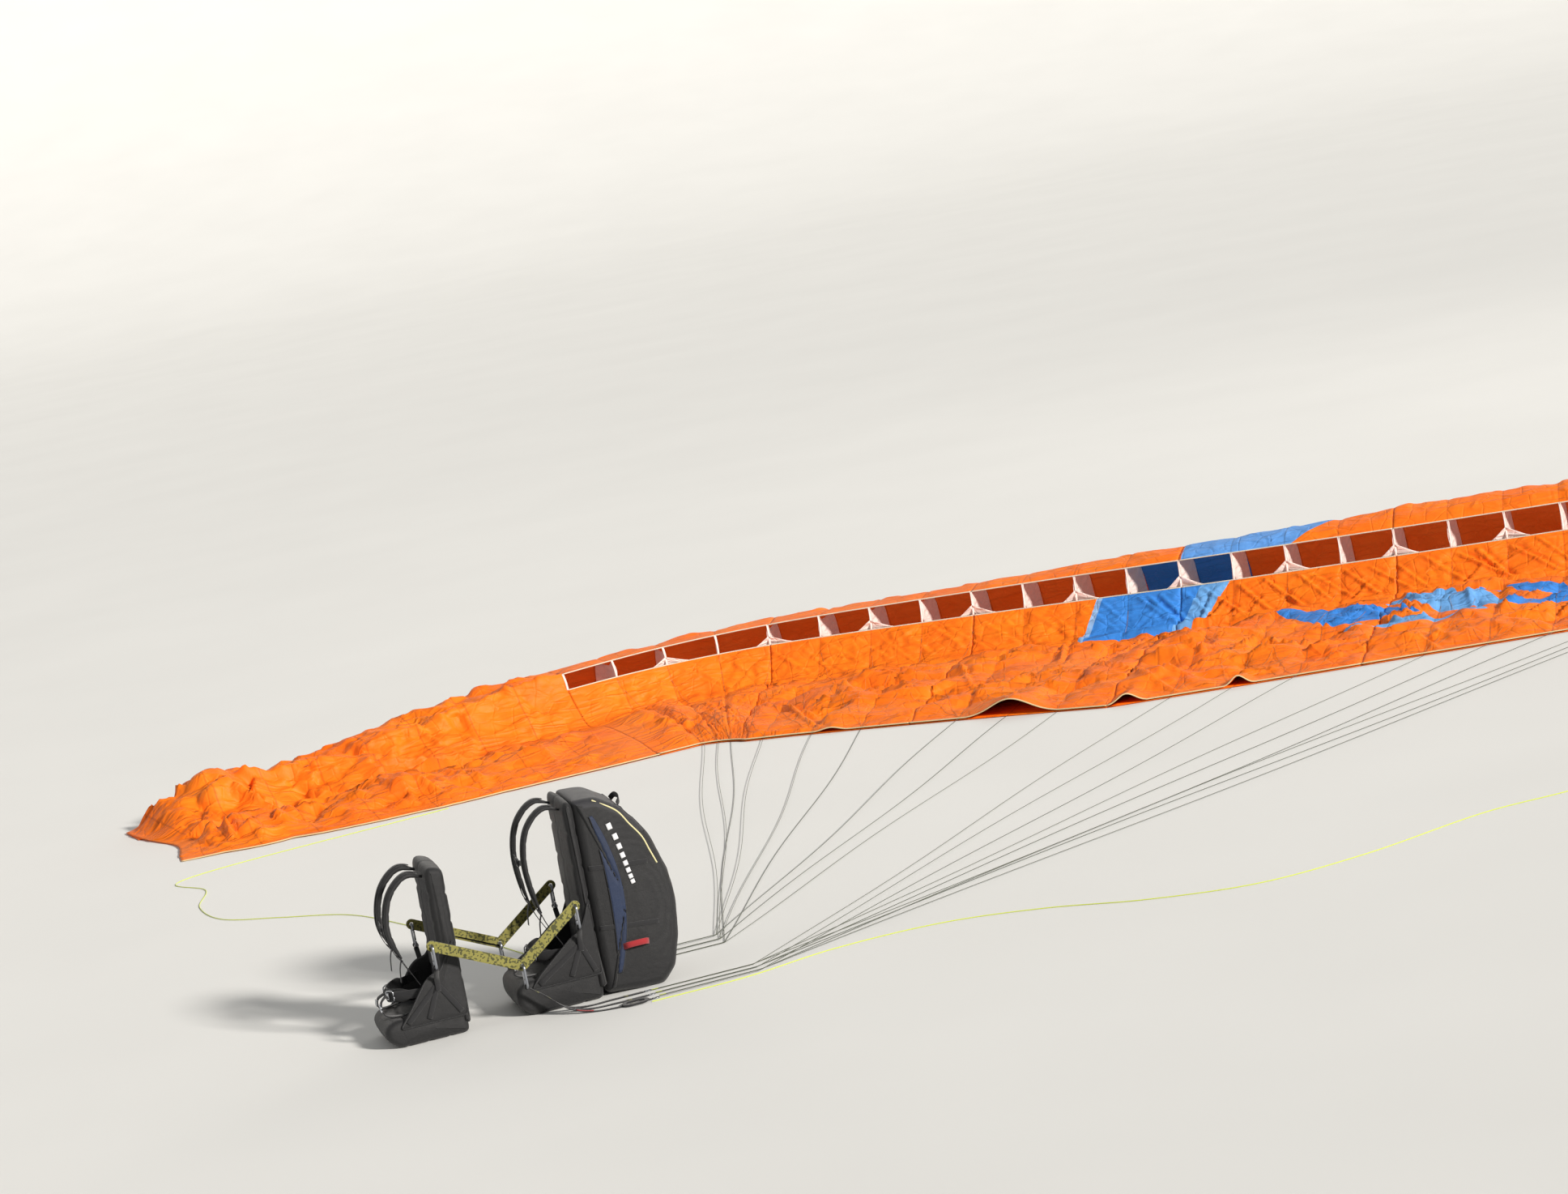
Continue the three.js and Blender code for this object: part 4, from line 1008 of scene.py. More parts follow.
def tip_points(side, rows, columns):
    """Points of a wing tip's one skin, from its trailing edge over the nose and back."""
    share = np.linspace(0, 1, columns)
    s = side * (TIP_START + share * TIP_LENGTH)
    lower, upper = section_lines(s)
    u, z = through(list(reversed(lower)) + upper, np.linspace(0, 13.0 / 14, rows))
    settled = 1 - 0.28 * ramp(share, 0.1, 0.6)[:, None]
    z = z * settled
    grid_s, v, base, normal = sheet_base(s, u, z)
    outward = base - place(grid_s, np.full_like(u, -0.1), np.full_like(z, 0.05))
    normal *= np.sign((normal * outward).sum(axis=2, keepdims=True) + 1e-9)
    wild = (ramp(share, 0.0, 0.08) * (0.5 + 0.5 * ramp(share, 0.05, 0.5)))[:, None]
    big = creases(grid_s, v, 1.5, 71, octaves=2) * 0.07 + crumple(grid_s, v, 2.4, 72, 0.12, 16)
    middle = creases(grid_s, v, 3.4, 81, octaves=2, angle=0.6) * 0.035 + crumple(grid_s, v, 5.5, 82, 0.15, 16)
    small = crumple(grid_s, v, 11.0, 87, 0.15, 16) + sum(
        pleat(grid_s, v, (side * line[0][0], line[0][1]), (side * line[1][0], line[1][1]), *line[2:])
        for line in TIP_FOLDS
    )
    edge = np.clip(v / 0.08, 0, 1)
    on_ground = ramp(z, 0.0, 0.06)
    sign = 1 if side > 0 else -1
    move = (big + middle + small) * wild * (0.25 + 0.75 * on_ground) * edge
    points = base + normal * move[..., None]
    wander = 0.10 * creases(s * 0.8, 0 * s, 2.0, 44, octaves=2) * ramp(share, 0.05, 0.3)
    pull = wander[:, None] * (1 - ramp(v, 0.0, 0.5))
    points = points - (place(grid_s, u + 1, z) - base) * np.maximum(
        pull + 0.03 * ramp(share, 0.1, 0.4)[:, None] * (1 - ramp(v, 0.0, 0.5)), 0
    )[..., None]
    # one high hump and a dip beside it, as the cloth has slumped
    slump = 0.07 * hump(share, 0.80, 0.08) - 0.06 * hump(share, 0.69, 0.04) - 0.03 * hump(share, 0.30, 0.06)
    points[..., 2] += slump[:, None] * ramp(points[..., 2], 0.06, 0.25)
    # the end is sewn shut, so the two skins come together there, in an edge that curves in
    curve_in = side * 0.10 * hump(v / v[:, -1:], 0.32, 0.22) * ramp(share, 0.84, 1.0)[:, None]
    points += place(grid_s - curve_in, u, z) - base
    shut = 1 - 0.94 * ramp(share, 0.90, 1.0)[:, None]
    points[..., 2] = LAYER_UP + np.clip(points[..., 2] - LAYER_UP, 0, None) * shut
    return points, map_pairs(grid_s, v), v


tip_edges = {}
for name, side in (("right", -1), ("left", 1)):
    points, uv, v = tip_points(side, 165, 170)
    tip = keep_grid("tip_cloth_" + name, points, uv, "root", [plain_cloth, glowing_lining], side > 0)
    solidify(tip, CLOTH, 1)
    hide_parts("wing_tip_" + name)
    cuts[tip.name] = (TIP_LENGTH, float(v[:, -1].mean()))
    tip_edges[name] = points[:, 0].copy()
    print(tip.name, points.shape)

# %% [markdown]
# ### Ribs and their gussets
# A rib stands between each two cells and runs back from the inlet. Its front edge is the white post
# between two inlets, and its face shows beside it. Every second rib has a pair of diagonals sewn to its
# foot, which show as a white flare at the lip. Ribs are flat cut shapes, so each is a grid stretched
# between the two skins.

# %% Ribs
RIB_ROWS, RIB_COLUMNS = 26, 12
GUSSET_ROWS, GUSSET_COLUMNS = 10, 8
RIB_BACK = -0.435  # where a rib ends, behind the inlets
RIB_CLOTH = 0.002
GUSSET_REACH = (-0.085, 0.135)  # along the lip, to each side of the rib
rib_points, rib_faces, rib_uv, offset = [], [], [], 0
gusset_points, gusset_faces, gusset_uv, gusset_offset = [], [], [], 0
RIBS = np.arange(-12, 13)

for k in RIBS:
    s = np.array([k * CELL])
    lower, upper = section_lines(s)
    lip, top = float(lower[0][1][0]), float(upper[0][1][0])
    along = np.linspace(0, 1, RIB_ROWS)
    u_low = 0.004 + (RIB_BACK - 0.004) * along
    u_high = -0.036 + (RIB_BACK + 0.036) * along
    shape_u, shape_z = through(upper, np.linspace(0, 4.6 / 7, 200))
    order = np.argsort(-shape_u[0])
    high = np.interp(-u_high, -shape_u[0][order], shape_z[0][order]) - 0.006 - 0.020 * ramp(along, 0.02, 0.2)
    closed = ramp(along, 0.93, 1.0)
    high = np.minimum(high, top + 0.4) * (1 - closed) + (0.45 * top) * closed
    low = lip * (1 - ramp(along, 0.0, 0.75)) + 0.012
    low[0] = lip
    across = np.linspace(0, 1, RIB_COLUMNS)[None, :]
    u = u_low[:, None] + (u_high - u_low)[:, None] * across
    z = low[:, None] + (high - low)[:, None] * across
    sway = (
        0.010 * np.sin(np.pi * across) * np.sin(3.1 * along[:, None] + k) + 0.006 * creases(u + k, z, 6, 95)
    )
    grid = place(np.full_like(u, s[0]) + sway, u, z)
    rib_points.append(grid)
    rib_uv.append(map_pairs(u, z))
    rib_faces += (grid_faces(RIB_ROWS, RIB_COLUMNS) + offset).tolist()
    offset += RIB_ROWS * RIB_COLUMNS
    if k % 2 == 0 and abs(k) < 11:
        # a gusset: a triangle from the post to the lip on each side, gathered to the rib's foot behind
        for reach in GUSSET_REACH:
            a, b = np.linspace(0, 1, GUSSET_ROWS)[:, None], np.linspace(0, 1, GUSSET_COLUMNS)[None, :]
            rise = 0.42 * (top - lip)
            front_s, front_z = reach * a**0.85, lip + rise * (1 - a) ** 1.3 + 0.003
            gs = s[0] + front_s * (1 - b)
            gu = -0.003 - 0.022 * b
            gz = front_z * (1 - b) + (lip + 0.02 * rise) * b
            gusset_points.append(place(gs, gu, gz))
            gusset_uv.append(map_pairs(gs, gu + gz))
            gusset_faces += (grid_faces(GUSSET_ROWS, GUSSET_COLUMNS) + gusset_offset).tolist()
            gusset_offset += GUSSET_ROWS * GUSSET_COLUMNS

ribs = keep_faces("ribs", rib_points, rib_faces, rib_uv, "root", glowing_rib_cloth)
gussets = keep_faces("rib_gussets", gusset_points, gusset_faces, gusset_uv, "root", glowing_rib_cloth)
solidify(ribs, RIB_CLOTH)
solidify(gussets, RIB_CLOTH)
print("ribs", len(ribs.data.polygons), "gussets", len(gussets.data.polygons))

# %% [markdown]
# ### Bound edges
# The lips of the inlets and the trailing edge are bound with tape. Each is a flattened tube along the
# skin's own edge row, so it follows every fold. The front edges of the ribs are bound too, which makes
# the white posts.

# %% Bound edges
lips = [lower_edges[n][0] for n in SECTION_NAMES]
hems = [lower_edges[n][1] for n in SECTION_NAMES] + [tip_edges[n] for n in ("right", "left")]
lip_tape = tube("lower_lip_tape", lips, 0.006, "root", edge_tape, 6, flat=0.6)
nose_tape = tube(
    "upper_lip_tape", [upper_edges[n] for n in SECTION_NAMES], 0.006, "root", edge_tape, 6, flat=0.6
)
hem_tape = tube("trailing_edge_tape", hems, 0.007, "root", hem_binding, 6, flat=0.5)
posts = []
for k in RIBS:
    lower, upper = section_lines(np.array([k * CELL]))
    ends = [(0.002, float(lower[0][1][0])), (-0.038, float(upper[0][1][0]))]
    t = np.linspace(0, 1, 8)
    u, z = ends[0][0] + (ends[1][0] - ends[0][0]) * t, ends[0][1] + (ends[1][1] - ends[0][1]) * t
    posts.append(place(np.full_like(u, k * CELL) + 0.003 * np.sin(np.pi * t), u, z))
post_tape = tube("rib_edge_tape", posts, 0.0075, "root", glowing_rib_cloth, 6, flat=0.5)
print("tapes", [tape.name for tape in (lip_tape, nose_tape, hem_tape, post_tape)])

# %% [markdown]
# ## Flat webbing
# Webbing is flat, with thin rounded edges, and bends only the flat way. `ribbon` lays it along lines of
# points, with its width towards a side, and gives it a map in metres so that the weave keeps its size.

# %% Flat webbing
STRAP_RING = np.array([(-1, 0), (-0.92, 1), (0, 1), (0.92, 1), (1, 0), (0.92, -1), (0, -1), (-0.92, -1)])


def strap_frame(line, side):
    """The directions across a strap's width and through its thickness, at each point."""
    tangent = np.gradient(line, axis=0)
    tangent /= np.linalg.norm(tangent, axis=1, keepdims=True)
    wide = np.asarray(side) - (tangent @ np.asarray(side))[:, None] * tangent
    wide /= np.linalg.norm(wide, axis=1, keepdims=True)
    return wide, np.cross(tangent, wide)


def ribbon(name, paths, side, width, thickness, body, material=black_webbing):
    """One mesh of flat webbing along several lines."""
    ring = STRAP_RING * (width / 2, thickness / 2)
    around = run_along(ring)
    points, faces, uv, base = [], [], [], 0
    for path in paths:
        line = np.asarray(path, float)
        wide, flat = strap_frame(line, side)
        points.append(line[:, None] + ring[None, :, :1] * wide[:, None] + ring[None, :, 1:] * flat[:, None])
        uv.append(map_pairs(around, run_along(line)[:, None]))
        count, rows = len(ring), len(line)
        faces += (grid_faces(rows, count, True) + base).tolist() + cap_faces(rows, count, base)
        base += rows * count
    return keep_faces(name, points, faces, uv, body, material)


print("flat webbing ready, with", len(STRAP_RING), "points round it")

# %% [markdown]
# ## Rounded edges
# `eased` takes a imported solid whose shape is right, rounds its edges as forging or folding leaves them, and
# gives it a map on the rig's own directions.

# %% Rounded edges
SHARP = math.radians(32)


def rig_map(mesh):
    """A map in metres from the two rig directions that a face lies most along."""
    layer = mesh.uv_layers.get("cloth") or mesh.uv_layers.new(name="cloth")
    for face in mesh.polygons:
        facing = [abs(face.normal.dot(Vector(d))) for d in (AHEAD, LEFT, UP)]
        u, v = ((LEFT, UP), (AHEAD, UP), (AHEAD, LEFT))[facing.index(max(facing))]
        for k in face.loop_indices:
            at = mesh.vertices[mesh.loops[k].vertex_index].co
            layer.data[k].uv = (at.dot(Vector(u)), at.dot(Vector(v)))


def eased(node, width, body, material, segments=2):
    """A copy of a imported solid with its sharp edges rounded."""
    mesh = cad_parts[node].data.copy()
    mesh.materials.clear()
    made = keep(node + "_eased", mesh, body, material)
    edges = bmesh.new()
    edges.from_mesh(mesh)
    bmesh.ops.remove_doubles(edges, verts=edges.verts, dist=1e-5)
    bmesh.ops.dissolve_limit(edges, angle_limit=math.radians(2), verts=edges.verts, edges=edges.edges)
    sharp = [e for e in edges.edges if len(e.link_faces) == 2 and e.calc_face_angle(0) > SHARP]
    bmesh.ops.bevel(
        edges, geom=sharp, offset=width, segments=segments, profile=0.5, affect="EDGES", clamp_overlap=True
    )
    bmesh.ops.triangulate(edges, faces=edges.faces)
    edges.to_mesh(mesh)
    edges.free()
    mesh.polygons.foreach_set("use_smooth", [True] * len(mesh.polygons))
    rig_map(mesh)
    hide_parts(node)
    return made


print("edges that turn by more than", round(math.degrees(SHARP)), "degrees are rounded")

# %% [markdown]
# ## Stuffed pieces
# Foam in a sewn cover swells between its seams. `padded_form` makes such a piece from its outline seen from
# the side: rings of that outline across the rig, drawn in at both ends, crowned in the middle, and closed by
# a domed panel.

# %% Stuffed pieces
FLOOR_GAP = 0.0005


def rounded(outline, count, radius):
    """A closed outline, evenly sampled, with its corners eased by a moving average."""
    p = np.asarray(list(outline) + list(outline[:1]), float)
    length = run_along(p)
    at = np.linspace(0, length[-1], count, endpoint=False)
    ring = np.stack([np.interp(at, length, p[:, k]) for k in (0, 1)], axis=1)
    reach = max(1, int(round(radius * count / length[-1])))
    for _ in range(2):
        ring = sum(np.roll(ring, k, axis=0) for k in range(-reach, reach + 1)) / (2 * reach + 1)
    return ring, at


def padded_form(
    name, outline, half, body, materials, crown, edge, corner, dome, middle=0.0, detail=None,
    columns=110, rows=44,
):
    """`outline` is (ahead, up) in metres, and `detail(ahead, up, across)` moves points outwards."""
    ring, around = rounded(outline, columns, corner)
    along = np.roll(ring, -1, axis=0) - np.roll(ring, 1, axis=0)
    out = np.stack([along[:, 1], -along[:, 0]], axis=1) / np.linalg.norm(along, axis=1, keepdims=True)
    area = 0.5 * np.sum(ring[:, 0] * np.roll(ring[:, 1], -1) - np.roll(ring[:, 0], -1) * ring[:, 1])
    out *= np.sign(area)
    centre = ring.mean(axis=0)
    x = np.sin(np.linspace(-1, 1, rows) * math.pi / 2) * half
    rings = []
    for at in x:
        into = max(0.0, (abs(at) - (half - edge)) / edge)
        inset = edge * (1 - math.sqrt(max(0.0, 1 - into**2))) * 0.9
        lift = crown * (1 - (at / half) ** 2)
        extra = detail(ring[:, 0], ring[:, 1], at) * (1 - into**2) if detail else np.zeros(columns)
        rings.append((at, ring + out * (lift - inset + extra)[:, None]))
    ends = []
    for share in (0.86, 0.66, 0.42, 0.16):
        for n, end in ((0, -1), (-1, 1)):
            domed = end * (half + dome * (1 - share**2))
            ends.append((domed, centre + (rings[n][1] - centre) * share))
    every = ends[::2][::-1] + rings + ends[1::2]
    points = np.stack([
        rig(0, 0, 0) + p[:, :1] * AHEAD + (at + middle) * LEFT + p[:, 1:] * UP for at, p in every
    ])
    points[..., 2] = np.maximum(points[..., 2], FLOOR_GAP)
    across = np.array([at for at, _ in every])
    uv = map_pairs(around, across[:, None])
    count = len(every)
    faces = grid_faces(count, columns, True).tolist() + cap_faces(count, columns)
    made = keep_faces(name, points, faces, uv, body, materials)
    shell = bmesh.new()
    shell.from_mesh(made.data)
    bmesh.ops.recalc_face_normals(shell, faces=shell.faces)
    shell.to_mesh(made.data)
    shell.free()
    return made


print("stuffed pieces stay", FLOOR_GAP * 1000, "mm off the floor")

# %% [markdown]
# ### Main carabiners, maillons, gates and spreader bars
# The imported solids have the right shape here, with hard edges. Forged metal and folded webbing have none,
# so each is a copy with rounded edges: 3 mm on the forgings and bars, about 2 mm on the gates and handles
# and 1 mm on the links.

# %% Metal pieces
for side in ("left", "right"):
    for who, body in (("main", "root"), ("pilot", "spreader_bars"), ("passenger", "spreader_bars")):
        eased(f"carabiner_{who}_{side}", 0.003, body, grey_aluminium, 3)
        eased(f"gate_{who}_{side}", 0.0018, f"gate_{who}_{side}", bright_steel, 2)
    for row in "abc":
        eased(f"maillon_{row}_{side}", 0.0012, "root", bright_steel, 2)
    eased(f"spreader_bar_{side}", 0.003, "spreader_bars", olive_webbing, 3)
    eased(f"brake_handle_{side}", 0.0022, "root", black_webbing, 3)

# %% [markdown]
# ### Risers
# Three legs of 20 mm webbing a side start from one sewn eye on the main carabiner, drop to the ground and
# fan out to the maillons. Each leg has bar-tacked joints near both ends, and the rear leg carries a red
# trimmer tab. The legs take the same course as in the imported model.

# %% Risers
HANG_OUT = 0.255
APEX = (0.265, 0.240)
BOWS_APART = 0.093
HANG = {"pilot": (0.0, 0.340), "passenger": (0.620, 0.320)}
MAIN_EYE_UP = APEX[1] - BOWS_APART
EYE, EYE_WALL = 0.0086, 0.0016
RISER = (0.020, 0.003)
LEG_SPREAD = 0.075
MAILLON_LENGTH = 0.034
SIDES = (("left", 1), ("right", -1))


def eye_loop(ahead, left, up):
    """A turn of webbing round a carabiner's bow, seen as a ring from the side."""
    return [
        rig(ahead + (EYE + EYE_WALL) * math.cos(a), left, up + (EYE + EYE_WALL) * math.sin(a))
        for a in np.linspace(0, 2 * math.pi, 25)
    ]


riser_ends = {}
for side, sign in SIDES:
    legs, tabs, tacks = [], [], []
    for i, row in enumerate("abc"):
        out = HANG_OUT + 0.07 + (i - 1) * LEG_SPREAD
        floor_up = RISER[1] / 2 + 0.001
        line = centripetal([
            rig(APEX[0] - 0.008, sign * HANG_OUT, MAIN_EYE_UP - EYE - 0.001),
            rig(APEX[0] - 0.060, sign * (HANG_OUT + 0.008), MAIN_EYE_UP - 0.050),
            rig(APEX[0] - 0.150, sign * (HANG_OUT + (out - HANG_OUT) * 0.4), 0.022),
            rig(APEX[0] - 0.240, sign * (HANG_OUT + (out - HANG_OUT) * 0.75), floor_up),
            rig(APEX[0] - 0.340, sign * out, floor_up),
            rig(APEX[0] - 0.480, sign * out, floor_up),
        ], 60)
        line += UP * (0.0012 * (i - 1) + 0.0012) * ramp(np.linspace(1, 0, 60), 0.35, 0.8)[:, None]
        legs.append(line)
        lead = (line[-1] - line[-2]) / np.linalg.norm(line[-1] - line[-2])
        riser_ends[row + side] = (line[-1], lead)
        for start in (3, 9, 49):
            tacks.append(line[start : start + 3] + UP * 0.0016)
        if row == "c":
            tabs.append(line[24:33] + UP * 0.0032)
    risers = ribbon("risers_webbing_" + side, legs, LEFT, *RISER, "root")
    ribbon(
        "riser_eye_" + side, [eye_loop(APEX[0], sign * HANG_OUT, MAIN_EYE_UP)], LEFT, 0.022, 0.003, "root"
    )
    ribbon("riser_bar_tacks_" + side, tacks, LEFT, 0.018, 0.0012, "root", olive_webbing)
    ribbon("trimmer_tab_" + side, tabs, LEFT, 0.016, 0.0022, "root", red_webbing)
    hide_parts("risers_" + side)
print("riser legs", len(riser_ends))

# %% [markdown]
# ### Main lines
# From each maillon a row's three lines run together for a stretch, then fan out over the ground to the
# trailing edge, a little bowed because nothing pulls on them. They are dark sheathed braid, 2.5 mm thick.

# %% Main lines
LINE_RIBS = {"a": (1, 5, 9), "b": (2, 6, 10), "c": (3, 7, 11)}
LINE_UP = {"a": 0.002, "b": 0.0055, "c": 0.009}
BUNDLE = 0.45  # how far a row's lines run together
LINES_APART = 0.0035
LINE_RADIUS = 0.00125
lines = []
for side, sign in SIDES:
    for row in "abc":
        end, lead = riser_ends[row + side]
        start = np.array([*(end + lead * (MAILLON_LENGTH + 0.0006))[:2], LINE_UP[row]])
        fan = start + lead * BUNDLE
        for n, number in enumerate(LINE_RIBS[row]):
            s = np.array([sign * number * CELL])
            hem = place(s, np.array([depth_at(s[0]) + 0.0015]), np.array([0.0]))[0]
            hem[2] = LINE_UP[row]
            across = np.cross(UP, hem - fan)
            across /= np.linalg.norm(across)
            beside = np.cross(UP, lead) * LINES_APART * (n - 1)
            t = np.linspace(0, 1, 26)[:, None]
            free = fan + beside + (hem - fan - beside) * t
            free = free + across * 0.035 * np.sin(math.pi * t) * np.sin(5.3 * t + 1.7 * number + 2.1 * sign)
            free[:, 2] = LINE_UP[row] + 0.0006
            lead_in = start + beside + (fan - start) * np.linspace(0, 0.96, 8)[:, None]
            lines.append(np.vstack([lead_in, free]))
main_lines = tube("line_fan", lines, LINE_RADIUS, "root", dark_braid, 5)
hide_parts(*[f"main_lines_{row}_{side}" for row in "abc" for side, _ in SIDES])
print("main lines", len(lines), "the first", round(length_of(lines[0]), 2), "m long")

# %% [markdown]
# ### Upper lines
# Every main line branches into thinner ones that go on over the lower skin to its ribs: the A row near the
# inlets, B in the middle and C further back. They are unsheathed aramid, straw coloured and 1.6 mm thick,
# and each lies on the folded skin, 3.5 mm above its points. At the maillons the lines end in sewn loops of a
# brighter braid, which hide where the bundles start.

# %% Upper lines
ATTACH = {"a": 0.10, "b": 0.62, "c": 0.95}  # metres down the lower skin from the lip
THIN_LINE_RADIUS = 0.0008
ON_SKIN = 0.0035
SKIN_ROWS, SKIN_COLUMNS = 120, 24
upper_lines = []
for side, sign in SIDES:
    for row in "abc":
        for number in range(1, 12):
            near = min(LINE_RIBS[row], key=lambda k: abs(k - number))
            if abs(near - number) > 2:
                continue
            begin, finish_at = sign * near * CELL, sign * number * CELL
            strip_ends = [min(begin, finish_at) - 0.02, max(begin, finish_at) + 0.02]
            grid, _, v = lower_points(np.linspace(*strip_ends, SKIN_COLUMNS), SKIN_ROWS)
            total = v[:, -1].mean()
            reach = np.linspace(total, min(ATTACH[row], 0.8 * total), 34)
            share = (total - reach) / (total - reach[-1])
            s_at = begin + (finish_at - begin) * share**0.8
            columns = np.interp(s_at, strip_ends, [0, SKIN_COLUMNS - 1]).round().astype(int)
            rows = np.array([np.interp(r, v[c], np.arange(SKIN_ROWS)) for r, c in zip(reach, columns)])
            on = grid[columns, rows.round().astype(int)]
            on = np.stack(
                [np.convolve(np.pad(column, 1, mode="edge"), [0.25, 0.5, 0.25], "valid") for column in on.T],
                axis=1,
            )
            on[:, 2] += ON_SKIN
            upper_lines.append(on)
tube("upper_lines", upper_lines, THIN_LINE_RADIUS, "root", straw_line, 4)
knots = []
for key, (end, lead) in riser_ends.items():
    at = np.array([*(end + lead * (MAILLON_LENGTH + 0.001))[:2], LINE_UP[key[0]] + 0.0005])
    knots.append(np.array([at + lead * d for d in np.linspace(0, 0.028, 6)]))
tube("line_loops", knots, 0.0032, "root", yellow_braid, 8, flat=0.7)
print("upper lines", len(upper_lines), "and sewn loops", len(knots))

# %% [markdown]
# ## The harnesses
# Each harness is a stuffed seat and back with a stiff panel at each hip, hung from two carabiners by
# webbing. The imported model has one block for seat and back, and the pads here fill that block. Channels are
# sewn across them, three in the seat and four in the back, and one down the back's middle. These are the
# sizes, and how far the channels draw the cloth in.

# %% Harness sizes
HARNESS = {
    "pilot": dict(
        half=0.190, back=(-0.075, -0.030), top=0.860, seat=(0.300, 0.150), hip=0.300, shoulder=0.095
    ),
    "passenger": dict(
        half=0.180, back=(-0.110, -0.030), top=0.720, seat=(0.250, 0.120), hip=0.280, shoulder=0.090
    ),
}
HIP_INSIDE = 0.010  # how far a hip panel's inner face is inside the seat's side
CHANNEL_DEPTH = 0.006


def seat_detail(front, rear):
    """Channels across the seat, and small wrinkles."""
    def move(ahead, up, across):
        channels = sum(hump(ahead, rear + (front - rear) * k / 4, 0.007) for k in (1, 2, 3))
        return -CHANNEL_DEPTH * channels + 0.0022 * creases(ahead + 3 * up, np.full_like(up, across), 14, 101)
    return move


def back_detail(top, foot):
    """Channels across the back and one down its middle, and small wrinkles."""
    def move(ahead, up, across):
        channels = sum(hump(up, foot + (top - foot) * k / 5, 0.009) for k in (1, 2, 3, 4))
        spine = hump(np.full_like(up, across), 0, 0.010) * ramp(up, foot, foot + 0.1)
        return (
            -CHANNEL_DEPTH * (channels + 0.7 * spine)
            + 0.0025 * creases(up, np.full_like(up, across) + ahead, 12, 111)
        )
    return move


print("seats", [h["seat"] for h in HARNESS.values()])

# %% [markdown]
# ### Seat and back pads
# Two pads a harness, of coated black pack cloth, with a darker mesh where a back rests. The seat is stuffed
# hard, and the back a little less.

# %% Seat and back pads
for who, h in HARNESS.items():
    body = who + "_harness"
    hang_ahead, hang_up = HANG[who]
    rear, front_face = h["back"]
    seat_front, seat_top = h["seat"]
    seat_outline = [
        (hang_ahead + a, u) for a, u in (
            (rear + 0.012, 0.0), (seat_front - 0.050, 0.0), (seat_front, 0.045),
            (seat_front, seat_top - 0.030), (seat_front - 0.040, seat_top - 0.004),
            (front_face + 0.03, seat_top - 0.004), (rear + 0.012, seat_top - 0.004),
        )
    ]
    back_outline = [
        (hang_ahead + a, u) for a, u in (
            (rear, 0.03), (front_face + 0.02, seat_top - 0.02), (front_face, seat_top + 0.04),
            (front_face - 0.015, h["top"] - 0.03), (front_face - 0.025, h["top"]),
            (rear - 0.010, h["top"] - 0.02),
        )
    ]
    seat = padded_form(
        who + "_seat_pad", seat_outline, h["half"] - 0.006, body, pack_cloth, crown=0.004, edge=0.028,
        corner=0.016, dome=0.006, detail=seat_detail(hang_ahead + seat_front, hang_ahead + rear),
    )
    back = padded_form(
        who + "_back_pad", back_outline, h["half"] - 0.006, body, [pack_cloth, spacer_mesh], crown=0.006,
        edge=0.026, corner=0.010, dome=0.006, detail=back_detail(h["top"], seat_top),
    )
    for face in back.data.polygons:
        across = abs((face.center - Vector(rig(0, 0, 0))).dot(Vector(LEFT)))
        inside = across < h["half"] - 0.045 and face.center.z < h["top"] - 0.06
        if inside and face.normal.dot(Vector(AHEAD)) > 0.6:
            face.material_index = 1
    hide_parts(who + "_seat_and_back")
    print(seat.name, back.name, "sides", round(h["half"] * 2, 3), "m wide")

# %% [markdown]
# ### Hip panels and hang straps
# A stiff panel stands at each hip and spreads the load of the hang strap into the seat. It is padded
# cloth, bound at its edge, with webbing sewn on in a fan. The hang strap rises from it to a sewn eye on
# the carabiner.

# %% Hip panels
for who, h in HARNESS.items():
    body = who + "_harness"
    hang_ahead, hang_up = HANG[who]
    rear = h["back"][0]
    seat_front, seat_top = h["seat"]
    outline = [
        (hang_ahead + a, u) for a, u in (
            (rear + 0.006, seat_top - 0.040), (seat_front - 0.060, seat_top - 0.040),
            (seat_front - 0.110, seat_top + 0.015), (0.050, h["hip"] - 0.025), (0.015, h["hip"]),
            (-0.020, h["hip"]), (rear + 0.006, h["hip"] + 0.130),
        )
    ]
    rim, _ = rounded(outline, 90, 0.010)
    for side, sign in SIDES:
        place_out = sign * (h["half"] - HIP_INSIDE + 0.006)
        panel = padded_form(
            f"{who}_hip_panel_{side}", outline, 0.006, body, pack_cloth, crown=0.001, edge=0.005,
            corner=0.008, dome=0.004, middle=place_out, columns=90, rows=8,
        )
        edge_line = np.array([rig(a, place_out + sign * 0.0065, u) for a, u in np.vstack([rim, rim[:1]])])
        tube(f"{who}_hip_binding_{side}", [edge_line], 0.0028, body, black_webbing, 6)
        outside = h["half"] + 0.0085
        fan_up = h["hip"] - 0.045
        fan = [
            np.array([
                rig(
                    hang_ahead + a * t, sign * (outside - 0.001 * (1 - t)),
                    fan_up + (seat_top - 0.02 - h["hip"] + 0.045) * t,
                )
                for t in np.linspace(0, 1, 12)
            ])
            for a in (rear + 0.03, 0.06, seat_front - 0.10)
        ]
        ribbon(f"{who}_hip_webbing_{side}", fan, AHEAD, 0.022, 0.0025, body)
        top_of_strap = hang_up - EYE - 0.002
        strap = centripetal([
            rig(hang_ahead, sign * (h["half"] - 0.004 + 0.012), h["hip"] - 0.075),
            rig(hang_ahead, sign * (h["half"] + 0.014), h["hip"] - 0.045),
            rig(hang_ahead, sign * (h["half"] + 0.022), h["hip"] - 0.022),
            rig(hang_ahead, sign * HANG_OUT, top_of_strap),
        ], 24)
        ribbon(f"{who}_hang_strap_{side}", [strap], AHEAD, 0.022, 0.004, body)
        ribbon(
            f"{who}_hang_eye_{side}", [eye_loop(hang_ahead, sign * HANG_OUT, hang_up)], LEFT, 0.022, 0.003,
            body,
        )
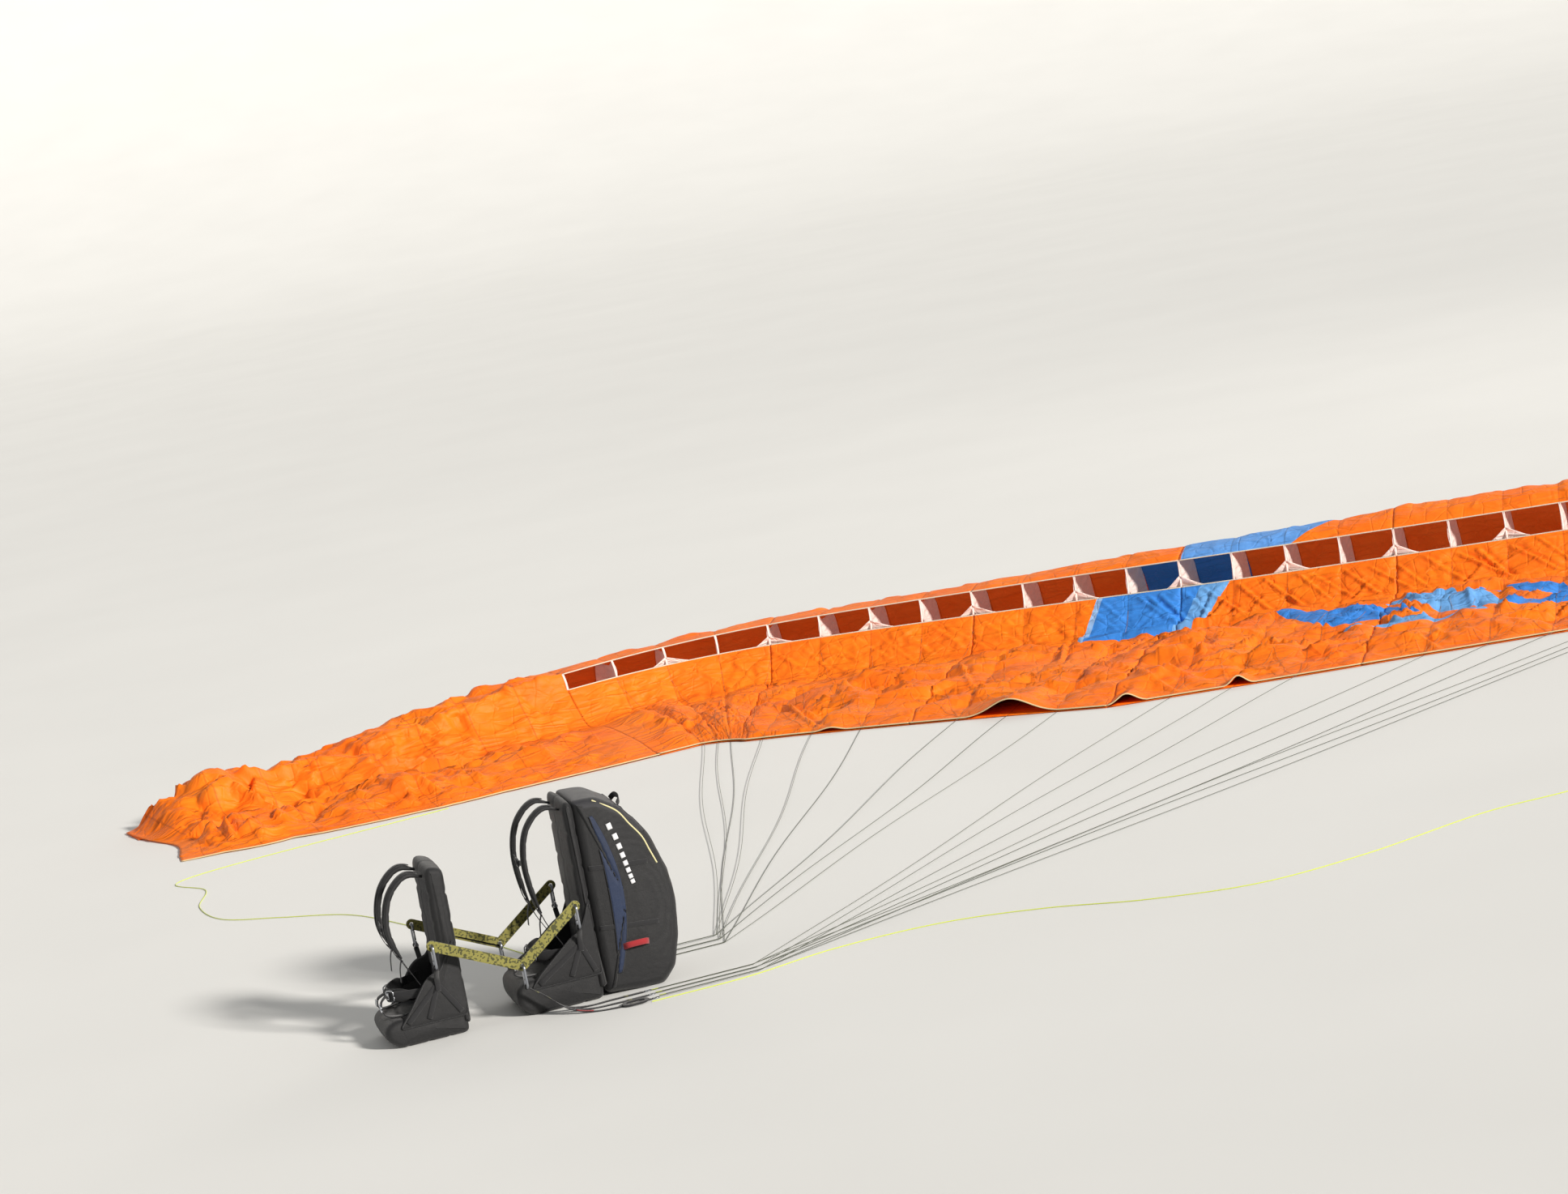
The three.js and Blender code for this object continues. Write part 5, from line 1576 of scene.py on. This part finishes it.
print("hip panels", 2 * len(HARNESS), "with", len(fan), "webbings each")

# %% [markdown]
# ### Shoulder straps
# Padded straps arch from the top of the back to the hips, as they stay when the harness is set down. Each
# is about 60 mm of foam under cloth, quilted across, with 25 mm webbing sewn along it that runs through a
# ladder lock, a moulded frame with two bars, at its lower end.

# %% Padded straps and ladder locks
def squared(x, power):
    """Turns a circle's sine or cosine into a rounded rectangle's, the more so the smaller the power."""
    return np.sign(x) * np.abs(x) ** power


def soft_strap(name, path, side, width, thickness, body, material, rows=60):
    """A padded strap: a ribbon with a domed face, narrower and flatter at its ends, with stitched edges."""
    line = evenly(path, rows)
    wide, flat = strap_frame(line, side)
    turn = np.linspace(0, 2 * math.pi, 20, endpoint=False)
    x, y = squared(np.cos(turn), 0.6), squared(np.sin(turn), 0.8)
    share = np.linspace(0, 1, rows)
    taper = 0.45 + 0.55 * np.minimum(ramp(share, 0.0, 0.14), 1 - ramp(share, 0.80, 1.0))
    quilt = 1 - 0.16 * sum(hump(share, k / 9, 0.012) for k in range(1, 9))
    ring = line[:, None] + (width / 2 * taper)[:, None, None] * x[None, :, None] * wide[:, None]
    ring = ring + (thickness / 2 * taper * quilt)[:, None, None] * y[None, :, None] * flat[:, None]
    length = np.linspace(0, length_of(line), rows)
    uv = map_pairs(width * turn / math.pi, length[:, None])
    faces = grid_faces(rows, 20, True).tolist() + cap_faces(rows, 20)
    return keep_faces(name, ring, faces, uv, body, material)


LOCK_SIZE = (0.034, 0.026, 0.006)


def ladder_lock(name, at, tangent, side, body):
    """A moulded frame with two bars that webbing threads through, lying along a strap."""
    along = np.asarray(tangent) / np.linalg.norm(tangent)
    wide = np.asarray(side) - np.dot(side, along) * along
    wide /= np.linalg.norm(wide)
    out = np.cross(along, wide)
    w, h, r = LOCK_SIZE[0] / 2, LOCK_SIZE[1] / 2, LOCK_SIZE[2] / 2
    corner = np.array([(-1, -1), (-1, 1), (1, 1), (1, -1), (-1, -1)]) * (w, h)
    frame_line = centripetal([at + wide * x + along * y for x, y in corner], 33)
    bars = [
        np.array([at + wide * x * w + along * y * h + out * 0.001 for x in np.linspace(-1, 1, 6)])
        for y in (-0.15, 0.4)
    ]
    return tube(name, [frame_line, *bars], r, body, black_acetal, 8)


print("a strap's half width keeps", round(float(squared(np.cos(0.6), 0.6)), 2), "of itself at 34 degrees")

# %% [markdown]
# ### Where the shoulder straps run
# The path is a curve from the top of the back, forward and down to the hip's inside. The passenger's straps
# are the wider and thicker ones. Foam covers the upper three quarters, and the webbing goes on to the hip,
# with a loose end hanging from the ladder lock.

# %% Shoulder straps
for who, h in HARNESS.items():
    body = who + "_harness"
    hang_ahead, _ = HANG[who]
    front_face = h["back"][1]
    hip_inside = h["half"] - HIP_INSIDE
    width, thickness = (0.058, 0.020) if who == "pilot" else (0.064, 0.025)
    for side, sign in SIDES:
        at = lambda ahead, left, up: rig(hang_ahead + ahead, sign * left, up)
        path = centripetal([
            at(front_face - 0.011, h["shoulder"], h["top"] - 0.045),
            at(front_face + 0.060, h["shoulder"] + 0.005, h["top"] - 0.025),
            at(0.110, h["shoulder"] + 0.010, h["top"] - 0.090),
            at(0.150, h["shoulder"] + 0.020, h["top"] - 0.230),
            at(0.120, h["half"] - 0.055, h["hip"] + 0.090),
            at(0.060, hip_inside - 0.0253, h["hip"] - 0.045),
        ], 120)
        pad = soft_strap(f"{who}_shoulder_pad_{side}", path[:92], LEFT, width, thickness, body, pack_cloth)
        outward = np.cross(np.gradient(path, axis=0), LEFT)
        outward /= np.linalg.norm(outward, axis=1, keepdims=True)
        outward *= np.sign(outward[40] @ AHEAD)
        padded = 1 - ramp(np.linspace(0, 1, 120), 0.70, 0.80)
        over = path + outward * (thickness / 2 * padded + 0.0015)[:, None]
        ribbon(f"{who}_shoulder_webbing_{side}", [over[6:]], LEFT, 0.025, 0.0025, body)
        ladder_lock(f"{who}_ladder_lock_{side}", over[90], over[91] - over[89], LEFT, body)
        loose_end = [
            over[92], over[92] + outward[92] * 0.012 - UP * 0.03,
            over[92] + outward[92] * 0.020 - UP * 0.085,
        ]
        ribbon(f"{who}_shoulder_tail_{side}", [centripetal(loose_end, 16)], LEFT, 0.025, 0.002, body)
        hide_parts(f"{who}_shoulder_strap_{side}")
    print(who, "shoulder straps", round(length_of(path), 3), "m long")

# %% [markdown]
# ### Buckles
# The buckles in front are pressed alloy: a rounded frame, a middle bar and a tongue across it. The chest
# strap's is the same shape in moulded plastic.

# %% Buckles
BUCKLE_SQUARE = 0.45  # 1 would make a buckle oval


def buckle_frame(name, at, wide, along, size, body, material):
    """A pressed buckle: a rounded frame with a middle bar, and a tongue across it."""
    w, h, r = size[0] / 2, size[1] / 2, size[2] / 2
    out = np.cross(wide, along)
    turn = np.linspace(0, 2 * math.pi, 41)
    x, y = squared(np.cos(turn), BUCKLE_SQUARE), squared(np.sin(turn), BUCKLE_SQUARE)
    rim = np.array([at + wide * w * a + along * h * b for a, b in zip(x, y)])
    bars = [
        np.array([at + along * (h * b) + wide * (w * k) for b in np.linspace(-1, 1, 8)])
        for k in (-0.25, 0.3)
    ]
    made = tube(name, [rim, *bars], r, body, material, 8)
    plate_points = np.array([
        [
            at + wide * (w * a) + along * (h * 0.72 * b) + out * 0.002 * (1 - a * a)
            for b in np.linspace(-1, 1, 6)
        ]
        for a in np.linspace(-0.9, -0.3, 6)
    ])
    tongue = keep_grid(name + "_tongue", plate_points, np.zeros((6, 6, 2)), body, material)
    solidify(tongue, 0.0025)
    return made


print("buckle corners at", round(float(squared(np.cos(math.pi / 4), BUCKLE_SQUARE)), 2), "of the half width")

# %% [markdown]
# ### Chest, belly and leg straps
# Flat webbing closes the harness in front: a chest strap with a buckle, a wide padded belly strap with two
# buckles, and two leg straps that rise from the seat in a vee to the belly strap.

# %% Front straps
for who, h in HARNESS.items():
    body = who + "_harness"
    hang_ahead, _ = HANG[who]
    seat_front, seat_top = h["seat"]
    chest_up = h["top"] - 0.230
    chest_half = h["shoulder"] + 0.020 - 0.004
    chest = [
        rig(hang_ahead + 0.152 + 0.004 * math.cos(9 * x), x, chest_up - 0.012 * (1 - (x / chest_half) ** 2))
        for x in np.linspace(-chest_half, chest_half, 30)
    ]
    chest_web = ribbon(f"{who}_chest_webbing", [chest], UP, 0.025, 0.003, body)
    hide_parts(f"{who}_chest_strap")
    buckle_frame(
        f"{who}_chest_buckle", rig(hang_ahead + 0.160, 0.0, chest_up - 0.012), LEFT, UP,
        (0.050, 0.034, 0.007), body, black_acetal,
    )
    belly_up = h["hip"] - 0.070
    belly_half = h["half"] - HIP_INSIDE - 0.0023
    belly = centripetal([
        rig(hang_ahead + 0.030, -belly_half, belly_up),
        rig(hang_ahead + 0.150, -0.55 * belly_half, belly_up - 0.005),
        rig(hang_ahead + 0.190, 0, belly_up - 0.010),
        rig(hang_ahead + 0.150, 0.55 * belly_half, belly_up - 0.005),
        rig(hang_ahead + 0.030, belly_half, belly_up),
    ], 60)
    belly_pad = soft_strap(f"{who}_belly_pad", belly[8:52], UP, 0.058, 0.012, body, pack_cloth, 50)
    front_of = belly + AHEAD * 0.009 * np.sin(np.linspace(0, math.pi, 60))[:, None] ** 0.4
    belly_web = ribbon(f"{who}_belly_webbing", [front_of], UP, 0.038, 0.003, body)
    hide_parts(f"{who}_leg_and_belly_straps")
    for n, left in enumerate((-0.062, 0.062)):
        near = min(range(60), key=lambda k: abs((front_of[k] - RIG_AT) @ LEFT - left))
        along_belly = front_of[near + 1] - front_of[near - 1]
        along_belly /= np.linalg.norm(along_belly)
        buckle_frame(
            f"{who}_belly_buckle_{n}", front_of[near] + AHEAD * 0.006, along_belly, UP,
            (0.052, 0.046, 0.006), body, bright_steel,
        )
    legs = []
    for side, sign in SIDES:
        legs.append(centripetal([
            rig(hang_ahead + 0.193, sign * 0.020, belly_up - 0.004),
            rig(hang_ahead + 0.228, sign * 0.045, belly_up - 0.030),
            rig(hang_ahead + seat_front - 0.022, sign * 0.075, seat_top + 0.018),
            rig(hang_ahead + seat_front - 0.045, sign * 0.090, seat_top + 0.006),
            rig(hang_ahead + seat_front - 0.110, sign * 0.120, seat_top + 0.006),
        ], 40))
        middle = legs[-1][14]
        buckle_frame(
            f"{who}_leg_buckle_{side}", middle + AHEAD * 0.004 + UP * 0.002, LEFT,
            (legs[-1][15] - legs[-1][13]) / np.linalg.norm(legs[-1][15] - legs[-1][13]),
            (0.040, 0.036, 0.005), body, bright_steel,
        )
    ribbon(f"{who}_leg_webbing", legs, LEFT, 0.030, 0.0035, body)
    print(who, "belly strap", round(length_of(front_of), 3), "m long")

# %% [markdown]
# ### The pilot's back container
# A deep bag behind the pilot's back holds the reserve and the foam protector. It is a stuffed shell of
# black pack cloth with a lighter top panel, which is every face above a set height that looks upwards. What
# is sewn on it is laid on its skin afterwards: a ray from outside finds the skin, however it is folded there.

# %% Back container
TOP_PANEL_FROM = 0.66  # the height where the lighter top panel starts
BAG_OUTLINE = [
    (0, 0.014), (0.160, 0.0), (0.250, 0.0), (0.310, 0.060), (0.350, 0.190), (0.365, 0.330),
    (0.350, 0.480), (0.295, 0.640), (0.210, 0.770), (0.110, 0.840), (0.0, 0.850),
]
BAG_HALF = 0.195


def back_line(up):
    """How far ahead the bag's front face is at a height."""
    h = HARNESS["pilot"]
    return h["back"][0] - 0.010 * up / (h["top"] - 0.020)


def bag_detail(ahead, up, across):
    """Slack folds, and the seam before the bag's rounded rear."""
    depth = (back_line(up) - ahead) / 0.365
    folds = (
        0.010 * creases(ahead * 0.8, up + across * 0.3, 5.0, 121)
        + 0.007 * crumple(up + ahead, ahead + across, 9.0, 122, 1.0)
    )
    seam = -0.006 * hump(depth, 0.62, 0.035) * ramp(up, 0.05, 0.15)
    return (folds + seam) * ramp(depth, 0.02, 0.2)


bag_outline = [(back_line(u) - 0.0003 - a, u) for a, u in BAG_OUTLINE]
bag = padded_form(
    "pilot_bag", bag_outline, BAG_HALF, "pilot_harness", [pack_cloth, top_panel_cloth], crown=0.003, edge=0.045,
    corner=0.014, dome=0.010, detail=bag_detail, columns=180, rows=60,
)
# The lighter top panel is every face above that height which looks upwards.
for face in bag.data.polygons:
    if face.center.z > TOP_PANEL_FROM and face.normal.z > 0.25:
        face.material_index = 1
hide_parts("pilot_back_container")


def on_bag(back, across, up, direction, lift):
    """A point on the bag's skin, found by a ray from outside it, and lifted off the skin."""
    start = Vector(rig(back_line(up) - back, across, up))
    hit, at, normal, _ = bag.ray_cast(start, Vector(direction))
    return np.array(at) + np.array(normal) * lift if hit else np.array(start)


def on_side(sign, back, up, lift=0.0):
    return on_bag(back, sign * 0.5, up, LEFT * -sign, lift)


def on_rear(across, up, lift=0.0):
    return on_bag(0.6, across, up, AHEAD, lift)


print("bag", len(bag.data.polygons), "faces, its rear at", [round(float(x), 2) for x in on_rear(0, 0.4)])

# %% [markdown]
# ### Trim on the bag's sides
# Down each side runs a navy strip, wide at the hip and narrow at both ends, with a bound edge. Behind it
# eight short reflective tapes curve down, getting smaller, and a cream piping follows the rearmost seam.

# %% Trim on the bag's sides
TAPES = 8
TAPE_POINTS = 4  # along each side of a tape
for side, sign in SIDES:
    rows_of, t = [], np.linspace(0, 1, 46)
    for k in t:
        middle = 0.066 + 0.048 * math.sin(math.pi * k) ** 0.8
        half_width = 0.008 + 0.022 * math.sin(math.pi * k)
        rows_of.append(
            [on_side(sign, middle + half_width * w, 0.775 - 0.68 * k, 0.005) for w in np.linspace(-1, 1, 9)]
        )
    strip = np.array(rows_of)
    strip_uv = map_pairs(np.linspace(-0.04, 0.04, 9), (0.7 * t)[:, None])
    made = keep_grid(
        f"navy_strip_{side}", strip, strip_uv, "pilot_harness", navy_cloth, sign < 0
    )
    solidify(made, CLOTH)
    width = np.linalg.norm(np.diff(strip, axis=1), axis=2).sum(axis=1)
    tube(
        f"navy_strip_edges_{side}", [strip[:, 0], strip[:, -1]], 0.0018, "pilot_harness", black_webbing, 6,
    )
    tape_points, tape_faces, tape_uv = [], [], []
    slope = np.array([0.055, -0.25]) / math.hypot(0.055, 0.25)
    across_slope = np.array([slope[1], -slope[0]])
    for n in range(TAPES):
        share = n / (TAPES - 1)
        centre_back, centre_up = 0.135 + 0.055 * share**0.6, 0.715 - 0.25 * (1.4 * share - 0.4 * share**2)
        size = (0.014 - 0.005 * share, 0.011 - 0.002 * share)
        for i in range(TAPE_POINTS):
            for j in range(TAPE_POINTS):
                offset = slope * size[0] * (2 * i / 3 - 1) + across_slope * size[1] * (2 * j / 3 - 1)
                tape_points.append(on_side(sign, centre_back + offset[0], centre_up + offset[1], 0.004))
                tape_uv.append((0.01 * i, 0.01 * j))
        tape_faces += (grid_faces(TAPE_POINTS, TAPE_POINTS) + n * TAPE_POINTS**2).tolist()
    tapes = keep_faces(
        f"reflective_tapes_{side}", tape_points, tape_faces, tape_uv, "pilot_harness", reflective,
    )
    solidify(tapes, 0.0012)
    pipe = []
    for k in np.linspace(0, 1, 60):
        up = 0.835 - 0.32 * k
        reach = np.interp(up, [u for _, u in BAG_OUTLINE[2:]], [a for a, _ in BAG_OUTLINE[2:]])
        pipe.append(on_side(sign, reach - 0.030, up, 0.001))
    tube(
        f"rear_piping_{side}", [centripetal(pipe[::12] + pipe[-1:], 60)], 0.0035, "pilot_harness", piping,
        8,
    )

# %% [markdown]
# ### Straps and rear of the bag
# Two compression straps cross each side, and a red reserve handle stands off the left one. The rear isn't in
# the photo, so it is made as such bags usually are: two piped seams, a third across under the lighter top
# panel, a zip between them and a carrying handle.

# %% Straps and rear of the bag
compression = []
for up in (0.30, 0.56):
    for side, sign in SIDES:
        compression.append(
            [on_side(sign, back, up - 0.10 * back, 0.0025) for back in np.linspace(0.02, 0.27, 20)]
        )
ribbon("compression_straps", compression, UP, 0.020, 0.002, "pilot_harness")
handle_base = [
    on_side(1, 0.10, 0.20, 0.002), on_side(1, 0.12, 0.21, 0.030), on_side(1, 0.19, 0.21, 0.030),
    on_side(1, 0.21, 0.20, 0.002),
]
ribbon("reserve_handle", [centripetal(handle_base, 30)], UP, 0.026, 0.005, "pilot_harness", red_webbing)
seams = [[on_rear(across, up, 0.001) for up in np.linspace(0.79, 0.05, 40)] for across in (-0.135, 0.135)]
seams.append([on_rear(across, 0.655, 0.001) for across in np.linspace(-0.172, 0.172, 30)])
tube("rear_seams", seams, 0.0026, "pilot_harness", black_webbing, 6)
zip_line = np.array([on_rear(0, up, 0.001) for up in np.linspace(0.635, 0.10, 40)])
ribbon("rear_zip_tape", [zip_line], LEFT, 0.022, 0.0016, "pilot_harness")
zip_teeth = np.array([on_rear(0, up, 0.003) for up in np.linspace(0.630, 0.105, 40)])
tube("rear_zip_teeth", [zip_teeth], 0.0028, "pilot_harness", black_acetal, 6, flat=0.6)
pull = [on_rear(0, 0.628, 0.006), on_rear(0, 0.605, 0.011), on_rear(0, 0.575, 0.009)]
ribbon("rear_zip_pull", [centripetal(pull, 12)], LEFT, 0.009, 0.002, "pilot_harness", red_webbing)
grip = [
    on_rear(-0.075, 0.775, 0.002), on_rear(-0.055, 0.775, 0.024), on_rear(0.055, 0.775, 0.024),
    on_rear(0.075, 0.775, 0.002),
]
ribbon("carrying_handle", [centripetal(grip, 32)], UP, 0.024, 0.003, "pilot_harness")
print("compression straps", len(compression), "and rear seams", len(seams))

# %% [markdown]
# ### The cut of the cloth
# Each section of a skin is cut as four cells of 312 mm, and as long as its section line, and `cuts` holds
# these sizes. The lower skin lies over the upper skin's forward half; the loop below only works out, for each
# section of the lower skin, the name of the layer under it.

# %% Cloth sizes
for name, (width, length) in cuts.items():
    under = name.replace("lower_skin", "under_layer") if name.startswith("lower_skin") else ()

# %% [markdown]
# ## Floor and light
# A pale floor that curves up into a backdrop far behind, as in a studio, so that no horizon shows. The
# key light comes from the right of the camera, even over the whole span and low enough to rake over the
# folds, with an angle of 7 degrees that keeps its shadows soft. A weak fill and a pale world keep the
# shadows open. The scene is shown with the standard view, which leaves dyes as saturated as they are,
# where the filmic ones fade a bright orange to salmon.

# %% Floor and light
FLOOR_HALF, BEND_START, BEND_RADIUS = 110, 50, 60
floor_rows = []
for k in range(40):
    angle = min(max(k - 1, 0), 24) / 24 * math.pi / 2
    at = BEND_START + BEND_RADIUS * math.sin(angle) if k else -FLOOR_HALF
    up = BEND_RADIUS * (1 - math.cos(angle)) + max(0, k - 25) * 2.0
    floor_rows.append([(x, at, up - 0.001) for x in (-FLOOR_HALF, FLOOR_HALF)])
floor_points = np.array(floor_rows, float)
turned = Matrix.Rotation(math.atan2(-LOOK.x, LOOK.y), 3, "Z")
floor_points = np.array([[turned @ Vector(p) for p in row] for row in floor_points])
floor_mesh = mesh_from("floor", floor_points.reshape(-1, 3), grid_faces(40, 2))
floor_mesh.polygons.foreach_set("use_smooth", [True] * len(floor_mesh.polygons))
floor = bpy.data.objects.new("floor", floor_mesh)
bpy.context.scene.collection.objects.link(floor)
pale, tree, shader = finish("pale studio floor", Roughness=0.95)
mottle = add(tree, "TexNoise", named={"Vector": add(tree, "TexCoord", out=3), "Scale": 0.6, "Detail": 2.0})
floor_tone = add(tree, "Mix", mottle, named={A: linear("#dcdcd9"), B: linear("#e3e3e0")}, **MIX)
wire(tree, shader, Base_Color=floor_tone)
floor_mesh.materials.append(pale)
floor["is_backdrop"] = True

LIGHTS = (
    ("key", "SUN", (31, -11, 14), 5.0),
    ("fill", "AREA", (-12, -14, 9), 260),
    ("back", "AREA", (2, 14, 10), 260),
)
for name, kind, at, power in LIGHTS:
    light = bpy.data.lights.new(name, kind)
    light.energy, light.color = power, linear("#fffaf4")[:3]
    if kind == "SUN":
        light.angle = math.radians(7)
    else:
        light.size = 8
    lamp = bpy.data.objects.new(name, light)
    lamp.location = at
    lamp.rotation_mode = "QUATERNION"
    lamp.rotation_quaternion = (-Vector(at)).to_track_quat("-Z", "Y")
    bpy.context.scene.collection.objects.link(lamp)
world = bpy.context.scene.world or bpy.data.worlds.new("studio")
bpy.context.scene.world = world
world.use_nodes = True
surround = world.node_tree.nodes["Background"]
surround.inputs[0].default_value, surround.inputs[1].default_value = linear("#eef0f2"), 0.31
bpy.context.scene.view_settings.view_transform = "Standard"
print("lights", [name for name, *_ in LIGHTS])

# %% Size and finish
bpy.context.view_layer.update()
low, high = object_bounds()
print("visual box", [round(x, 3) for x in (*low, *high)])
